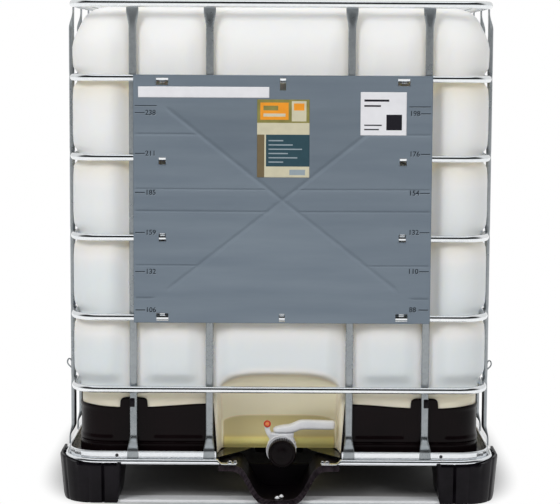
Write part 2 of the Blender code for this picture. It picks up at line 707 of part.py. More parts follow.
def label_plate(steel):
    """Sheet with a shallow pyramid, slotted at each bar and hooked over it by bent tongues."""
    back = -CAGE_HALF_Y - GAP
    front = back - PLATE_SHEET
    half = PLATE_WIDTH / 2
    middle = (PLATE_BOTTOM + PLATE_TOP) / 2
    shape = bmesh.new()
    rows = []
    for depth in (front, back):
        outer = [(-half, PLATE_BOTTOM), (half, PLATE_BOTTOM), (half, PLATE_TOP), (-half, PLATE_TOP)]
        border = PLATE_BORDER
        signs = ((1, 1), (-1, 1), (-1, -1), (1, -1))
        inner = [(x + sx * border, z + sz * border) for (x, z), (sx, sz) in zip(outer, signs)]
        outer = [shape.verts.new((x + PLATE_OFFSET, depth, z)) for x, z in outer]
        inner = [shape.verts.new((x + PLATE_OFFSET, depth, z)) for x, z in inner]
        apex = shape.verts.new((PLATE_OFFSET, depth - PLATE_EMBOSS, middle))
        for i in range(4):
            j = (i + 1) % 4
            shape.faces.new((outer[i], outer[j], inner[j], inner[i]))
            shape.faces.new((inner[i], inner[j], apex))
        rows.append(outer)
    for i in range(4):
        j = (i + 1) % 4
        shape.faces.new((rows[0][i], rows[0][j], rows[1][j], rows[1][i]))
    plate = add_object("label_plate", shape, steel, sharp_angle=1.0)
    rows = ((RING_HEIGHTS[0], -1, (-1, 0, 1)), (RING_HEIGHTS[1], 1, (-1, 1)),
            (RING_HEIGHTS[2], 1, (-1, 1)), (RING_HEIGHTS[3], 1, (-1, 0, 1)))
    for row, (height, side, columns) in enumerate(rows, start=1):
        for column in columns:
            x = PLATE_OFFSET + column * HOOK_PLACE
            label = f"{row}_{('left', 'middle', 'right')[column + 1]}"
            edge = height + side * (RING_TUBE / 2 + GAP)
            ends = sorted((edge, edge - side * RING_TUBE))
            slot = box((x - SLOT_WIDTH / 2, front - PLATE_EMBOSS - 0.01, ends[0]),
                       (x + SLOT_WIDTH / 2, back + 0.002, ends[1]))
            combine(plate, add_cutter("cut_plate_slot_" + label, slot), "DIFFERENCE")
            hook = hook_tongue(x, back - PLATE_SHEET / 2, height, side)
            combine(plate, add_cutter("cut_plate_hook_" + label, hook), "UNION")


def hook_tongue(x, root, height, side):
    """A bent tongue that passes over (side 1) or under (side -1) a bar and turns behind it."""
    edge = height + side * (RING_TUBE / 2 + GAP)
    outer = edge + side * HOOK_SHEET
    tip = height - side * HOOK_TIP
    behind = -CAGE_HALF_Y + RING_TUBE + GAP
    outline = [(root, edge), (behind, edge), (behind, tip), (behind + HOOK_SHEET, tip),
               (behind + HOOK_SHEET, outer), (root, outer)]
    left = x - HOOK_WIDTH / 2
    return prism([(left, y, z) for y, z in outline], (HOOK_WIDTH, 0, 0))


def guard_columns():
    """Point, outward direction, top and bottom height along a guard, from the niche to the side."""
    outer_x = BOTTLE_HALF_X
    outer_y = BOTTLE_HALF_Y
    corner = BOTTLE_CORNER
    tab = FRONT_POSTS[-1]
    dip = GUARD_TOP - GUARD_DIP
    round_off = 0.006
    front = [(GUARD_INNER_END, GUARD_TOP - 0.002), (GUARD_INNER_END + 0.030, GUARD_TOP),
             (tab - GUARD_TAB_HALF - 0.060, dip + 0.001), (tab - GUARD_TAB_HALF, dip),
             (tab - GUARD_TAB_HALF + 0.001, GUARD_TAB_TOP - round_off),
             (tab - GUARD_TAB_HALF + round_off, GUARD_TAB_TOP),
             (tab + GUARD_TAB_HALF - round_off, GUARD_TAB_TOP),
             (tab + GUARD_TAB_HALF - 0.001, GUARD_TAB_TOP - round_off),
             (tab + GUARD_TAB_HALF, dip)]
    columns = [(Vector((x, -outer_y, 0.0)), Vector((0.0, -1.0, 0.0)), top) for x, top in front]
    for step in range(6):
        angle = math.pi / 2 * step / 5
        outward = Vector((math.sin(angle), -math.cos(angle), 0.0))
        centre = Vector((outer_x - corner, -outer_y + corner, 0.0))
        columns.append((centre + corner * outward, outward, GUARD_TOP - 0.005 + 0.001 * step))
    columns.append((Vector((outer_x, -GUARD_SIDE_END - 0.06, 0.0)), Vector((1, 0, 0)), dip))
    columns.append((Vector((outer_x, -GUARD_SIDE_END, 0.0)), Vector((1, 0, 0)), GUARD_TOP))
    return columns


def corner_guards(plastic):
    for name, sign in (("corner_guard_left", -1), ("corner_guard_right", 1)):
        loops = []
        for index, (point, outward, top) in enumerate(guard_columns()):
            lean = GUARD_LEAN if index == 0 else 0.0
            loop = []
            for depth, height, shift in ((0.0, GUARD_BOTTOM, -lean), (0.0, top, 0.0),
                                         (GUARD_SHEET, top, 0.0), (GUARD_SHEET, GUARD_BOTTOM, -lean)):
                place = point - depth * outward + Vector((shift, 0.0, height))
                loop.append(Vector((sign * place.x, place.y, place.z)))
            loops.append(loop)
        add_object(name, loft(loops), plastic)


# Valve

def valve_static(white, rubber):
    wall = VALVE_WALL
    tube = VALVE_TUBE / 2
    bore = VALVE_BORE / 2
    start = SPIGOT_LENGTH + GAP
    gasket = [(bore, start), (tube, start), (tube, start + VALVE_GASKET), (bore, start + VALVE_GASKET)]
    add_object("valve_gasket", turned(gasket, wall, OUTWARD), rubber, wall)

    body_start = start + VALVE_GASKET + GAP
    collar_end = body_start + COLLAR_LENGTH
    shield = SHIELD_DISTANCE
    profile = [(COLLAR_RADIUS, body_start), (COLLAR_RADIUS, collar_end), (tube, collar_end),
               (tube, shield), (SHIELD_RADIUS, shield), (SHIELD_RADIUS, shield + SHIELD_SHEET),
               (OUTLET_RADIUS, shield + SHIELD_SHEET), (OUTLET_RADIUS, OUTLET_LENGTH)]
    body = add_object("valve_body", turned(profile, wall, OUTWARD, 32, closed=False), white, wall)
    loops = []
    for height in (VALVE_Z, BOSS_TOP):
        centre = Vector((VALVE_X, STEM_PLACE.y, height))
        loops.append(oval(centre, Vector((1, 0, 0)), Vector((0, 1, 0)),
                          BOSS_HALF_WIDTH, BOSS_HALF_DEPTH, 20, MOULDED_SQUARENESS))
    combine(body, add_cutter("cut_valve_boss", loft(loops)), "UNION")
    ear_y = STEM_PLACE.y - PIN_EAR / 2
    root_x = VALVE_X - BOSS_HALF_WIDTH + EAR_ROOT
    ear_x = VALVE_X + PIN_X
    ear_top = PIN_Z + EAR_HALF
    ear = [(root_x, ear_y, BOSS_TOP - EAR_ROOT - 2 * EAR_HALF), (root_x, ear_y, BOSS_TOP - EAR_ROOT),
           (ear_x + EAR_HALF, ear_y, ear_top - EAR_ROOT), (ear_x + EAR_CORNER, ear_y, ear_top),
           (ear_x - EAR_CORNER, ear_y, ear_top), (ear_x - EAR_HALF, ear_y, ear_top - EAR_ROOT),
           (ear_x - EAR_HALF, ear_y, BOSS_TOP - EAR_HALF)]
    combine(body, add_cutter("cut_valve_ear", prism(ear, (0, PIN_EAR, 0))), "UNION")
    hole = turned([(bore, body_start - 0.01), (bore, OUTLET_LENGTH + 0.01)], wall, OUTWARD, 24, closed=False)
    combine(body, add_cutter("cut_valve_bore", hole), "DIFFERENCE")
    stem_hole = turned([(STEM_RADIUS + GAP, 0.0), (STEM_RADIUS + GAP, BOSS_TOP - VALVE_Z + 0.01)],
                       STEM_PLACE, (0, 0, 1), 12, closed=False)
    combine(body, add_cutter("cut_stem_hole", stem_hole), "DIFFERENCE")
    pin_hole = turned([(PIN_WIRE + GAP, -0.01), (PIN_WIRE + GAP, 0.01)],
                      (ear_x, STEM_PLACE.y, PIN_Z), OUTWARD, 10, closed=False)
    combine(body, add_cutter("cut_pin_hole", pin_hole), "DIFFERENCE")

    nut_start = SPIGOT_LENGTH / 2
    nut_end = collar_end + GAP + NUT_FLANGE
    seat = COLLAR_RADIUS + GAP
    profile = [(seat, nut_start), (NUT_RADIUS, nut_start, 1), (NUT_RADIUS, nut_end, 1),
               (tube + GAP, nut_end), (tube + GAP, collar_end + GAP), (seat, collar_end + GAP)]
    shape = turned(profile, wall, OUTWARD, 48, lugs=NUT_LUGS, lug_height=NUT_LUG)
    add_object("valve_nut", shape, white, wall)


def valve_moving(white, steel):
    """Disc, stem and lever, which turn together about the upright stem."""
    disc_radius = VALVE_BORE / 2 - 2 * GAP
    half = DISC_SHEET / 2
    disc = turned([(disc_radius - 0.001, -half), (disc_radius, -half / 2), (disc_radius, half / 2),
                   (disc_radius - 0.001, half)], STEM_PLACE, OUTWARD, 24, closed=False)
    disc = add_object("valve_disc", disc, white, STEM_PLACE)
    reach = math.sqrt(disc_radius ** 2 - DISC_HUB ** 2)
    hub = turned([(DISC_HUB, -reach), (DISC_HUB, reach)], STEM_PLACE, (0, 0, 1), 16, closed=False)
    combine(disc, add_cutter("cut_disc_hub", hub), "UNION")
    depth = STEM_DEPTH
    hole = turned([(STEM_RADIUS + GAP, -depth), (STEM_RADIUS + GAP, reach + 0.01)],
                  STEM_PLACE, (0, 0, 1), 12, closed=False)
    combine(disc, add_cutter("cut_disc_hole", hole), "DIFFERENCE")

    under = BOSS_TOP + GAP
    stem_top = under + STEM_END
    shape = turned([(STEM_RADIUS, -depth + GAP), (STEM_RADIUS, stem_top - VALVE_Z)],
                   STEM_PLACE, (0, 0, 1), 12, closed=False)
    add_object("valve_stem", shape, steel, STEM_PLACE)

    stations = [(-0.0200, 0.0030, 0.0090, 0.0080), (-0.0170, 0.0, 0.0127, 0.0125),
                (0.0, 0.0, 0.0160, 0.0165), (0.0180, 0.0, 0.0185, 0.0165),
                (0.0330, 0.0020, 0.0255, 0.0140), (0.0450, 0.0070, 0.0297, 0.0115),
                (HANDLE_LENGTH - 0.006, 0.0070, 0.0287, 0.0105), (HANDLE_LENGTH, 0.0110, 0.0247, 0.0070)]
    loops = []
    for place, low, high, half_width in stations:
        centre = Vector((VALVE_X + place, STEM_PLACE.y, under + (low + high) / 2))
        loops.append(oval(centre, Vector((0, 1, 0)), Vector((0, 0, 1)), half_width, (high - low) / 2,
                          12, MOULDED_SQUARENESS))
    handle = add_object("valve_handle", loft(loops), white, STEM_PLACE)
    hole = turned([(STEM_RADIUS + GAP, 0.03), (STEM_RADIUS + GAP, stem_top + GAP - VALVE_Z)],
                  STEM_PLACE, (0, 0, 1), 12, closed=False)
    combine(handle, add_cutter("cut_handle_hole", hole), "DIFFERENCE")


def outlet_cap(black, rubber):
    wall = VALVE_WALL
    inner = OUTLET_RADIUS + GAP
    skirt = SHIELD_DISTANCE + SHIELD_SHEET + GAP
    seal_start = OUTLET_LENGTH + GAP
    seal_end = seal_start + SEAL_SHEET
    front = seal_end + GAP + CAP_FRONT
    seal = [(VALVE_BORE / 2 - 0.004, seal_start), (OUTLET_RADIUS - GAP, seal_start),
            (OUTLET_RADIUS - GAP, seal_end), (VALVE_BORE / 2 - 0.004, seal_end)]
    place = wall + seal_start * OUTWARD
    add_object("cap_seal", turned(seal, wall, OUTWARD), rubber, place)
    profile = [(0.010, seal_end + GAP), (inner, seal_end + GAP), (inner, skirt),
               (CAP_RADIUS, skirt, 1), (CAP_RADIUS, front - 0.003, 1), (CAP_RADIUS - 0.003, front),
               (0.010, front)]
    shape = turned(profile, wall, OUTWARD, 36, closed=False, lugs=CAP_RIBS, lug_height=0.0006)
    add_object("outlet_cap", shape, black, place)


def locking_pin(red):
    """A pull ring in front of the ear, with a shank that passes through it."""
    centre = Vector((VALVE_X + PIN_X, STEM_PLACE.y - PIN_EAR / 2 - GAP - PIN_WIRE, PIN_Z))
    loops = []
    for i in range(16):
        angle = math.tau * i / 16
        outward = Vector((math.cos(angle), 0.0, math.sin(angle)))
        loops.append(oval(centre + PIN_RING * outward, outward, Vector((0, 1, 0)), PIN_WIRE, PIN_WIRE, 6))
    pin = add_object("locking_pin", loft(loops, closed=True), red, centre)
    half = Vector((PIN_RING, PIN_BRIDGE / 2, PIN_BRIDGE / 2))
    bridge = box(centre - half, centre + half)
    combine(pin, add_cutter("cut_pin_bridge", bridge), "UNION")
    shank = turned([(PIN_WIRE, -PIN_EAR - 0.006), (PIN_WIRE, 0.0005)], centre, OUTWARD, 8, closed=False)
    combine(pin, add_cutter("cut_pin_shank", shank), "UNION")


def build():
    for old in list(bpy.data.objects):
        bpy.data.objects.remove(old, do_unlink=True)
    galvanised = material("galvanised_steel", (0.42, 0.45, 0.47), 0.35, 1.0)
    sheet = material("plate_steel", (0.16, 0.20, 0.25), 0.45, 0.6)
    natural = material("natural_polyethylene", (0.80, 0.81, 0.80), 0.45)
    black = material("black_plastic", (0.012, 0.012, 0.014), 0.5)
    white = material("white_plastic", (0.75, 0.76, 0.78), 0.4)
    red = material("red_plastic", (0.55, 0.05, 0.03), 0.4)
    rubber = material("rubber", (0.02, 0.02, 0.02), 0.8)
    cage_rings(galvanised)
    cage_posts(galvanised)
    crossbars(galvanised)
    base_ring(galvanised)
    pallet_tray(galvanised)
    pallet_skid(galvanised)
    seat = add_cutter("cut_foot_seat", seat_cutter())
    skid_space = add_cutter("cut_skid_space", skid_ring(GAP, -0.01, SKID_SHEET + GAP))
    corner_feet(black, seat, skid_space)
    middle_feet(black, seat, skid_space)
    front_trough(black, skid_space)
    bottle(natural)
    lid(black, rubber)
    label_plate(sheet)
    corner_guards(black)
    valve_static(white, rubber)
    valve_moving(white, galvanised)
    outlet_cap(black, rubber)
    locking_pin(red)


build()
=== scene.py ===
"""Looks of a caged intermediate bulk container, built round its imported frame.

Metres, +Z up, the valve side faces -Y.  The sections follow the order in which the real thing is put
together: pallet, bottle, guards, cage, label plate, valve, lid.
"""

import math

import bpy
import numpy as np
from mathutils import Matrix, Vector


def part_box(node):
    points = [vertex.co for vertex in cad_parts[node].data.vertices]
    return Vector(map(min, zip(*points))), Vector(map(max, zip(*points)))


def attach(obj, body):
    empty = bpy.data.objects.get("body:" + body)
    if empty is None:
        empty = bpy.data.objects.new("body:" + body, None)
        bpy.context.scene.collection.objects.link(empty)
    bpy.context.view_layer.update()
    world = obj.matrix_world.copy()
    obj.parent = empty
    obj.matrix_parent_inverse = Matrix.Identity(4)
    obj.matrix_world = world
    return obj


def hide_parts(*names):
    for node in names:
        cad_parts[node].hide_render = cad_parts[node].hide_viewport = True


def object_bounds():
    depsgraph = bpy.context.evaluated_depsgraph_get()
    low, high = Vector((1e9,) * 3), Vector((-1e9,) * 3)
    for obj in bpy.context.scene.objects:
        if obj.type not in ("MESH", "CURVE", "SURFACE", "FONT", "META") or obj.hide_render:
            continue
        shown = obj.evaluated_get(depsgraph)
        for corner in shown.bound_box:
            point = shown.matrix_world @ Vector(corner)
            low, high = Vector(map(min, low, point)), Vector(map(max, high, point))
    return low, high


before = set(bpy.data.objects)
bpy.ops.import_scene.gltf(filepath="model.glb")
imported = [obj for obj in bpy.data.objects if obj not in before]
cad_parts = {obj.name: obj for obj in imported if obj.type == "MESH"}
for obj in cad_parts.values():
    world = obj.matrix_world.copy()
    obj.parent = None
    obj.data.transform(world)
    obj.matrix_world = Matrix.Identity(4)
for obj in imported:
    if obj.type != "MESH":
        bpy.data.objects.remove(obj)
cad_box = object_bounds()

# Stage: a pale floor that runs out to white, a white surround, soft lamps, and the camera at the
# height and distance of the photographer, who stood about four metres in front of the valve side.

scene = bpy.context.scene
scene.view_settings.view_transform = "Standard"


def feed(tree, target, inputs):
    """Set a node's inputs; each is either a plain value or another node's output."""
    for key, value in inputs.items():
        if isinstance(value, bpy.types.NodeSocket):
            tree.links.new(value, target.inputs[key])
        else:
            target.inputs[key].default_value = value


def node(tree, kind, inputs=None, **settings):
    """Add a shader node with its inputs and settings."""
    made = tree.nodes.new(kind)
    for key, value in settings.items():
        setattr(made, key, value)
    feed(tree, made, inputs or {})
    return made


def material(name):
    """A new node material, its tree, its main shader and the place on the object."""
    made = bpy.data.materials.new(name)
    made.use_nodes = True
    tree = made.node_tree
    return made, tree, tree.nodes["Principled BSDF"], node(tree, "ShaderNodeTexCoord").outputs["Object"]


def reckon(tree, operation, *values):
    """One step of arithmetic on values or sockets."""
    return node(tree, "ShaderNodeMath", dict(enumerate(values)), operation=operation).outputs["Value"]


def remap(tree, value, low=0.0, high=1.0, to_low=0.0, to_high=1.0, course="LINEAR"):
    """Low to high becomes to_low to to_high, held beyond both ends."""
    limits = {"From Min": low, "From Max": high, "To Min": to_low, "To Max": to_high}
    return node(tree, "ShaderNodeMapRange", {"Value": value, **limits},
                interpolation_type=course).outputs["Result"]


def blend(tree, share, first, second):
    """Colour between two: first * (1 - share) + second * share."""
    return node(tree, "ShaderNodeMix", {0: share, 6: first, 7: second}, data_type="RGBA").outputs[2]


def ramp(tree, value, stops):
    """Colour from a value; stops are (place, (red, green, blue)) from the lowest up."""
    made = node(tree, "ShaderNodeValToRGB", {"Fac": value})
    elements = made.color_ramp.elements
    for element, (spot, colour) in zip(elements, (stops[0], stops[-1])):
        element.position = spot
        element.color = (*colour, 1)
    for spot, colour in stops[1:-1]:
        elements.new(spot).color = (*colour, 1)
    return made.outputs["Color"]


def add_mesh(name, vertices, faces):
    mesh = bpy.data.meshes.new(name)
    mesh.from_pydata(np.asarray(vertices, float).tolist(), [], faces)
    mesh.update()
    made = bpy.data.objects.new(name, mesh)
    scene.collection.objects.link(made)
    return made


FLOOR_REACH = 30.0
FLOOR_SHADE = 0.52
FADE_START = 0.95
FADE_END = 1.90
WORLD_LIGHT = 0.66

floor_corners = FLOOR_REACH * np.array([(-1, -1, 0), (1, -1, 0), (1, 1, 0), (-1, 1, 0)])
floor = add_mesh("floor", floor_corners, [(0, 1, 2, 3)])
floor_finish, tree, shader, place = material("pale_floor")
feed(tree, shader, {"Base Color": (FLOOR_SHADE, FLOOR_SHADE, FLOOR_SHADE, 1), "Roughness": 0.9,
                    "Specular IOR Level": 0.1})
in_footprints = node(tree, "ShaderNodeVectorMath", {0: place, 1: (cad_box[1].x, cad_box[1].y, 1.0)},
                     operation="DIVIDE").outputs["Vector"]
square = node(tree, "ShaderNodeVectorMath", {0: in_footprints, 1: in_footprints},
              operation="MULTIPLY").outputs["Vector"]
fourth = node(tree, "ShaderNodeVectorMath", {0: square, 1: square}, operation="DOT_PRODUCT").outputs["Value"]
fade = remap(tree, fourth, FADE_START, FADE_END, course="SMOOTHSTEP")
paths = node(tree, "ShaderNodeLightPath").outputs
share = reckon(tree, "MULTIPLY", fade, reckon(tree, "MAXIMUM", paths["Is Camera Ray"], paths["Is Glossy Ray"]))
white = node(tree, "ShaderNodeEmission", {"Color": (1, 1, 1, 1), "Strength": 1.0}).outputs["Emission"]
mixed = node(tree, "ShaderNodeMixShader", {0: share, 1: shader.outputs["BSDF"], 2: white})
tree.links.new(mixed.outputs["Shader"], tree.nodes["Material Output"].inputs["Surface"])
floor.data.materials.append(floor_finish)

world = bpy.data.worlds.new("white_surround")
scene.world = world
world.use_nodes = True
tree = world.node_tree
plain = tree.nodes["Background"]
direction = node(tree, "ShaderNodeTexCoord").outputs["Generated"]
parts = node(tree, "ShaderNodeSeparateXYZ", {"Vector": direction}).outputs
soft = remap(tree, parts["Z"], 0.02, 0.80, 0.10, 1.30)
# What shining pieces mirror in front: a dark band at the level of the eye and a bright one overhead.
bands = [(spot, (tone * 0.96, tone, tone * 1.03))
         for spot, tone in ((0.10, 0.34), (0.19, 0.02), (0.84, 0.02), (0.90, 2.0))]
room = ramp(tree, parts["Z"], [(0.0, (0.34, 0.36, 0.38)), *bands, (1.0, (1.5, 1.5, 1.5))])
sides = blend(tree, remap(tree, parts["Y"], 0.15, -0.25), (1.2, 1.2, 1.2, 1), room)
paths = node(tree, "ShaderNodeLightPath").outputs
feed(tree, plain, {"Color": blend(tree, paths["Is Glossy Ray"], soft, sides), "Strength": WORLD_LIGHT})
straight = reckon(tree, "MAXIMUM", paths["Is Camera Ray"], paths["Is Transmission Ray"])
white = node(tree, "ShaderNodeBackground", {"Color": (1, 1, 1, 1), "Strength": 1.0}).outputs["Background"]
mixed = node(tree, "ShaderNodeMixShader", {0: straight, 1: plain.outputs["Background"], 2: white})
tree.links.new(mixed.outputs["Shader"], tree.nodes["World Output"].inputs["Surface"])

for name, spot, aim, size, power in (("key_lamp", (-2.5, -3.5, 3.0), (0, 0, 0.6), 1.3, 84.0),
                                     ("fill_lamp", (2.6, -3.1, 2.4), (0, 0, 0.5), 2.2, 39.0),
                                     ("back_lamp", (0.4, 3.2, 2.8), (0, 0, 0.6), 2.2, 50.0)):
    lamp = bpy.data.lights.new(name, "AREA")
    lamp.size = size
    lamp.energy = power
    made = bpy.data.objects.new(name, lamp)
    made.location = spot
    reach = np.subtract(aim, spot)
    made.rotation_euler = (math.atan2(np.hypot(reach[0], reach[1]), -reach[2]), 0.0,
                           math.atan2(-reach[0], reach[1]))
    made.visible_glossy = False
    scene.collection.objects.link(made)

view = bpy.data.cameras.new("photo_view")
view.lens = 116.5
view.sensor_width = 36.0
view.shift_x = -0.0018
view.shift_y = -0.0185
view.clip_end = 100.0
camera = bpy.data.objects.new("photo_view", view)
camera.location = (0.0, -4.60, 1.015)
camera.rotation_euler = (math.radians(90.0 - 5.97), math.radians(-0.3), 0.0)
scene.collection.objects.link(camera)
scene.camera = camera


# Pallet runner: one flat ring of zinc-coated steel, screwed up into the undersides of the feet.
# It is the bright strip along the floor between the feet.

def skin(rows, closed=False):
    """Vertices and outward faces between neighbouring loops of an array (loops, points, 3).

    The points of a loop always close up.  The loops close up too if closed; if not, each end gets a
    fan to the mean of its loop.  A negative volume (sum of corner x corner . corner) flips all faces.
    """
    count, around = rows.shape[:2]
    vertices = rows.reshape(-1, 3)
    i = np.arange(count if closed else count - 1)[:, None]
    j = np.arange(around)[None, :]
    after = (j + 1) % around
    above = (i + 1) % count
    quads = np.stack([i * around + j, i * around + after, above * around + after, above * around + j], -1)
    faces = quads.reshape(-1, 4).tolist()
    if not closed:
        first, last = len(vertices), len(vertices) + 1
        ring = np.arange(around)
        turned = (ring + 1) % around
        top = (count - 1) * around
        vertices = np.vstack([vertices, rows[0].mean(0), rows[-1].mean(0)])
        faces += np.stack([np.full(around, first), turned, ring], -1).tolist()
        faces += np.stack([np.full(around, last), top + ring, top + turned], -1).tolist()
    corners = vertices[quads.reshape(-1, 4)]
    volume = np.einsum("ij,ij->i", corners[:, 0], np.cross(corners[:, 1], corners[:, 2])).sum()
    volume += np.einsum("ij,ij->i", corners[:, 0], np.cross(corners[:, 2], corners[:, 3])).sum()
    if not closed:
        ends = vertices[np.array(faces[-2 * around:])]
        volume += np.einsum("ij,ij->i", ends[:, 0], np.cross(ends[:, 1], ends[:, 2])).sum()
    if volume < 0:
        faces = [face[::-1] for face in faces]
    return vertices, faces


def hang(made, replaced=(), body="container"):
    """Fix a finished piece to its body and hide the imported solids it stands for."""
    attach(made, body)
    if replaced:
        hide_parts(*replaced)
    return made


SHARP_EDGE = math.radians(40.0)


def piece(name, shape, finish, replaced=(), body="container"):
    """Make the piece, smooth it below the sharp angle, and hang it on its body."""
    made = add_mesh(name, *shape)
    made.data.shade_smooth()
    made.data.set_sharp_from_angle(angle=SHARP_EDGE)
    made.data.materials.append(finish)
    return hang(made, replaced, body)


def rounded_path(half_x, half_y, corner, spacing=0.012, steps=12):
    """Points round a rounded rectangle, counter-clockwise from +X, each with its outward direction.

    Every quarter is one arc, centre + corner * (cos, sin), and a straight run of even spacing.
    """
    points, outward = [], []
    turn = np.linspace(0.0, math.pi / 2, steps + 1)
    for quarter in range(4):
        angle = turn + quarter * math.pi / 2
        direction = np.stack([np.cos(angle), np.sin(angle), 0 * angle], -1)
        sign = np.sign(direction[steps // 2])
        centre = sign * (half_x - corner, half_y - corner, 0.0)
        arc = centre + corner * direction
        length = 2 * ((half_x, half_y)[quarter % 2] - corner)
        runs = max(2, int(length / spacing))
        share = np.arange(1, runs)[:, None] / runs
        run = arc[-1] + share * length * (direction[-1][1] * np.array([-1.0, 0, 0])
                                          + direction[-1][0] * np.array([0, 1.0, 0]))
        points.append(np.vstack([arc, run]))
        outward.append(np.vstack([direction, np.tile(direction[-1], (runs - 1, 1))]))
    return np.vstack(points), np.vstack(outward)


def along_path(points, outward, profile):
    """Carry a closed profile of (outward, up) pairs along a path: point + outward * a + up * b."""
    profile = np.asarray(profile, float)
    up = np.array([0.0, 0.0, 1.0])
    return (points[:, None] + profile[None, :, :1] * outward[:, None]
            + profile[None, :, 1:] * up)


def rounded_strip(width, height, edge, steps=4):
    """Closed profile of a flat strip with rolled edges, centred on the origin."""
    corners = []
    for quarter, (sx, sy) in enumerate(((1, 1), (-1, 1), (-1, -1), (1, -1))):
        angle = np.linspace(0, math.pi / 2, steps) + quarter * math.pi / 2
        corners.append(np.stack([sx * (width / 2 - edge) + edge * np.cos(angle),
                                 sy * (height / 2 - edge) + edge * np.sin(angle)], -1))
    return np.vstack(corners)


def noise(tree, place, scale, detail):
    return node(tree, "ShaderNodeTexNoise", {"Vector": place, "Scale": scale, "Detail": detail}).outputs["Fac"]


def roughened(tree, place, scale, detail, strength, depth=0.0003):
    """Normal of a fine uneven surface: noise of the given scale and detail, as a bump."""
    return node(tree, "ShaderNodeBump", {"Height": noise(tree, place, scale, detail), "Strength": strength,
                                         "Distance": depth}).outputs["Normal"]


# Painted shade: the dark colour that zinc takes below a set height, where shade falls under the pallet.
UNDERSIDE_SHADE_ZINC = (0.05, 0.05, 0.05, 1)


def galvanised(name, dark, light, roughness, shaded_below=-1.0, metallic=0.92):
    """Zinc coat: crystals of the coat as cells of slightly different tone, and a soft dull mottle.

    Below the given height the coat's colour turns dark: painted shade, like the shade under a pallet.
    """
    finish, tree, shader, place = material(name)
    crystals = node(tree, "ShaderNodeTexVoronoi", {"Vector": place, "Scale": 170.0}).outputs["Color"]
    tone = node(tree, "ShaderNodeSeparateColor", {"Color": crystals}).outputs["Red"]
    both = node(tree, "ShaderNodeMix", {"Factor": 0.16, "A": noise(tree, place, 7.0, 4.0),
                                        "B": tone}).outputs["Result"]
    tones = ramp(tree, both, [(0.28, dark), (0.72, light)])
    height = node(tree, "ShaderNodeSeparateXYZ", {"Vector": place}).outputs["Z"]
    unshaded = remap(tree, height, shaded_below, shaded_below + 0.0012)
    feed(tree, shader, {"Metallic": metallic, "Base Color": blend(tree, unshaded, UNDERSIDE_SHADE_ZINC, tones),
                        "Roughness": remap(tree, both, to_low=roughness - 0.06, to_high=roughness + 0.08),
                        "Normal": roughened(tree, place, 900.0, 2.0, 0.05)})
    return finish


RUNNER_WIDTH = 0.045
RUNNER_SHEET = 0.006
RUNNER_CORNER = 0.110
runner_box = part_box("pallet_skid")
zinc = galvanised("zinc_coat", (0.80, 0.82, 0.84), (0.92, 0.93, 0.95), 0.30, metallic=0.10)
half_x = runner_box[1].x - RUNNER_WIDTH / 2
half_y = runner_box[1].y - RUNNER_WIDTH / 2
points, outward = rounded_path(half_x, half_y, RUNNER_CORNER - RUNNER_WIDTH / 2)
points[:, 2] = RUNNER_SHEET / 2
strip = rounded_strip(RUNNER_WIDTH, RUNNER_SHEET, 0.0010)
piece("runner", skin(along_path(points, outward, strip), closed=True), zinc, ["pallet_skid"])


# Feet: thick black recycled polyethylene, injection moulded.  The outer walls carry upright ribs and
# a groove, and their lips stand outside the base tube that rests on them.

DARK_SPECULAR = 0.09
FOOT_SPECULAR = 0.13


def moulded(name, dark, light, scale, roughness, grain=0.25):
    """Moulded plastic: two near tones in soft clouds, a fine grain, and duller patches."""
    finish, tree, shader, place = material(name)
    clouds = noise(tree, place, scale, 3.0)
    feed(tree, shader, {"Base Color": ramp(tree, clouds, [(0.32, dark), (0.68, light)]),
                        "Roughness": remap(tree, clouds, to_low=roughness - 0.08, to_high=roughness + 0.10),
                        "Specular IOR Level": 0.5 if max(light) > 0.1 else DARK_SPECULAR,
                        "Normal": roughened(tree, place, 700.0, 2.0, grain)})
    return finish


def smooth(value):
    """Smooth step: 3 v^2 - 2 v^3 between 0 and 1."""
    value = np.clip(value, 0.0, 1.0)
    return value * value * (3.0 - 2.0 * value)


def ridge(distance, centre, half, height):
    """A smooth rib: height * (1 - (d / half)^2)^2 inside its half width."""
    near = np.clip(np.abs(distance - centre) / half, 0.0, 1.0)
    return height * (1.0 - near ** 2) ** 2


PALLET_X = cad_box[1].x
PALLET_Y = -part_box("foot_front_left")[0].y
LIP_TOP = 0.1035
LIP_WIDTH = 0.0065
SEAT = 0.0940
LOW_LIP = 0.0874


def foot_loops(outline, outer, inner_direction):
    """Loops from the underside up the walls, over the lip, and in across the seat.

    Each loop is outline + inward * inset at a height.  Where outer is 0 the wall has no lip, so
    its height stops at the seat; where it is below 0 the lip stays below the base tube.
    """
    stations = [(0.040, 0.0), (0.0125, 0.0), (0.0105, 0.0008), (0.0095, 0.003), (0.0075, 0.012),
                (0.0050, 0.040), (0.0025, 0.070), (0.0006, 0.092), (0.0, 0.0965), (0.0, 0.1015),
                (0.0008, 0.1030), (0.0020, 0.1035), (0.0052, 0.1035), (LIP_WIDTH, 0.1028),
                (LIP_WIDTH + 0.0004, 0.0945), (0.0125, SEAT - 0.006), (0.0200, SEAT), (0.045, SEAT)]
    inset, height = np.array(stations).T[..., None]
    cap = SEAT + np.clip(outer, 0, 1)[None] * (LIP_TOP - SEAT)
    low_lip = (outer[None] < 0.0) & (inset < 0.0075)
    height = np.where(low_lip, np.minimum(height, LOW_LIP), np.minimum(height, cap))
    rows = outline[None] + inset[..., None] * inner_direction[None]
    return np.concatenate([rows, height[..., None]], -1)


black = moulded("black_moulding", (0.0025, 0.0018, 0.0030), (0.0085, 0.0068, 0.0095), 22.0, 0.33, 0.15)
feed(black.node_tree, black.node_tree.nodes["Principled BSDF"], {"Specular IOR Level": FOOT_SPECULAR})
FOOT_WIDTH = 0.146
FOOT_LENGTH = 0.170
FOOT_CORNER = 0.080
FOOT_EDGE = 0.012


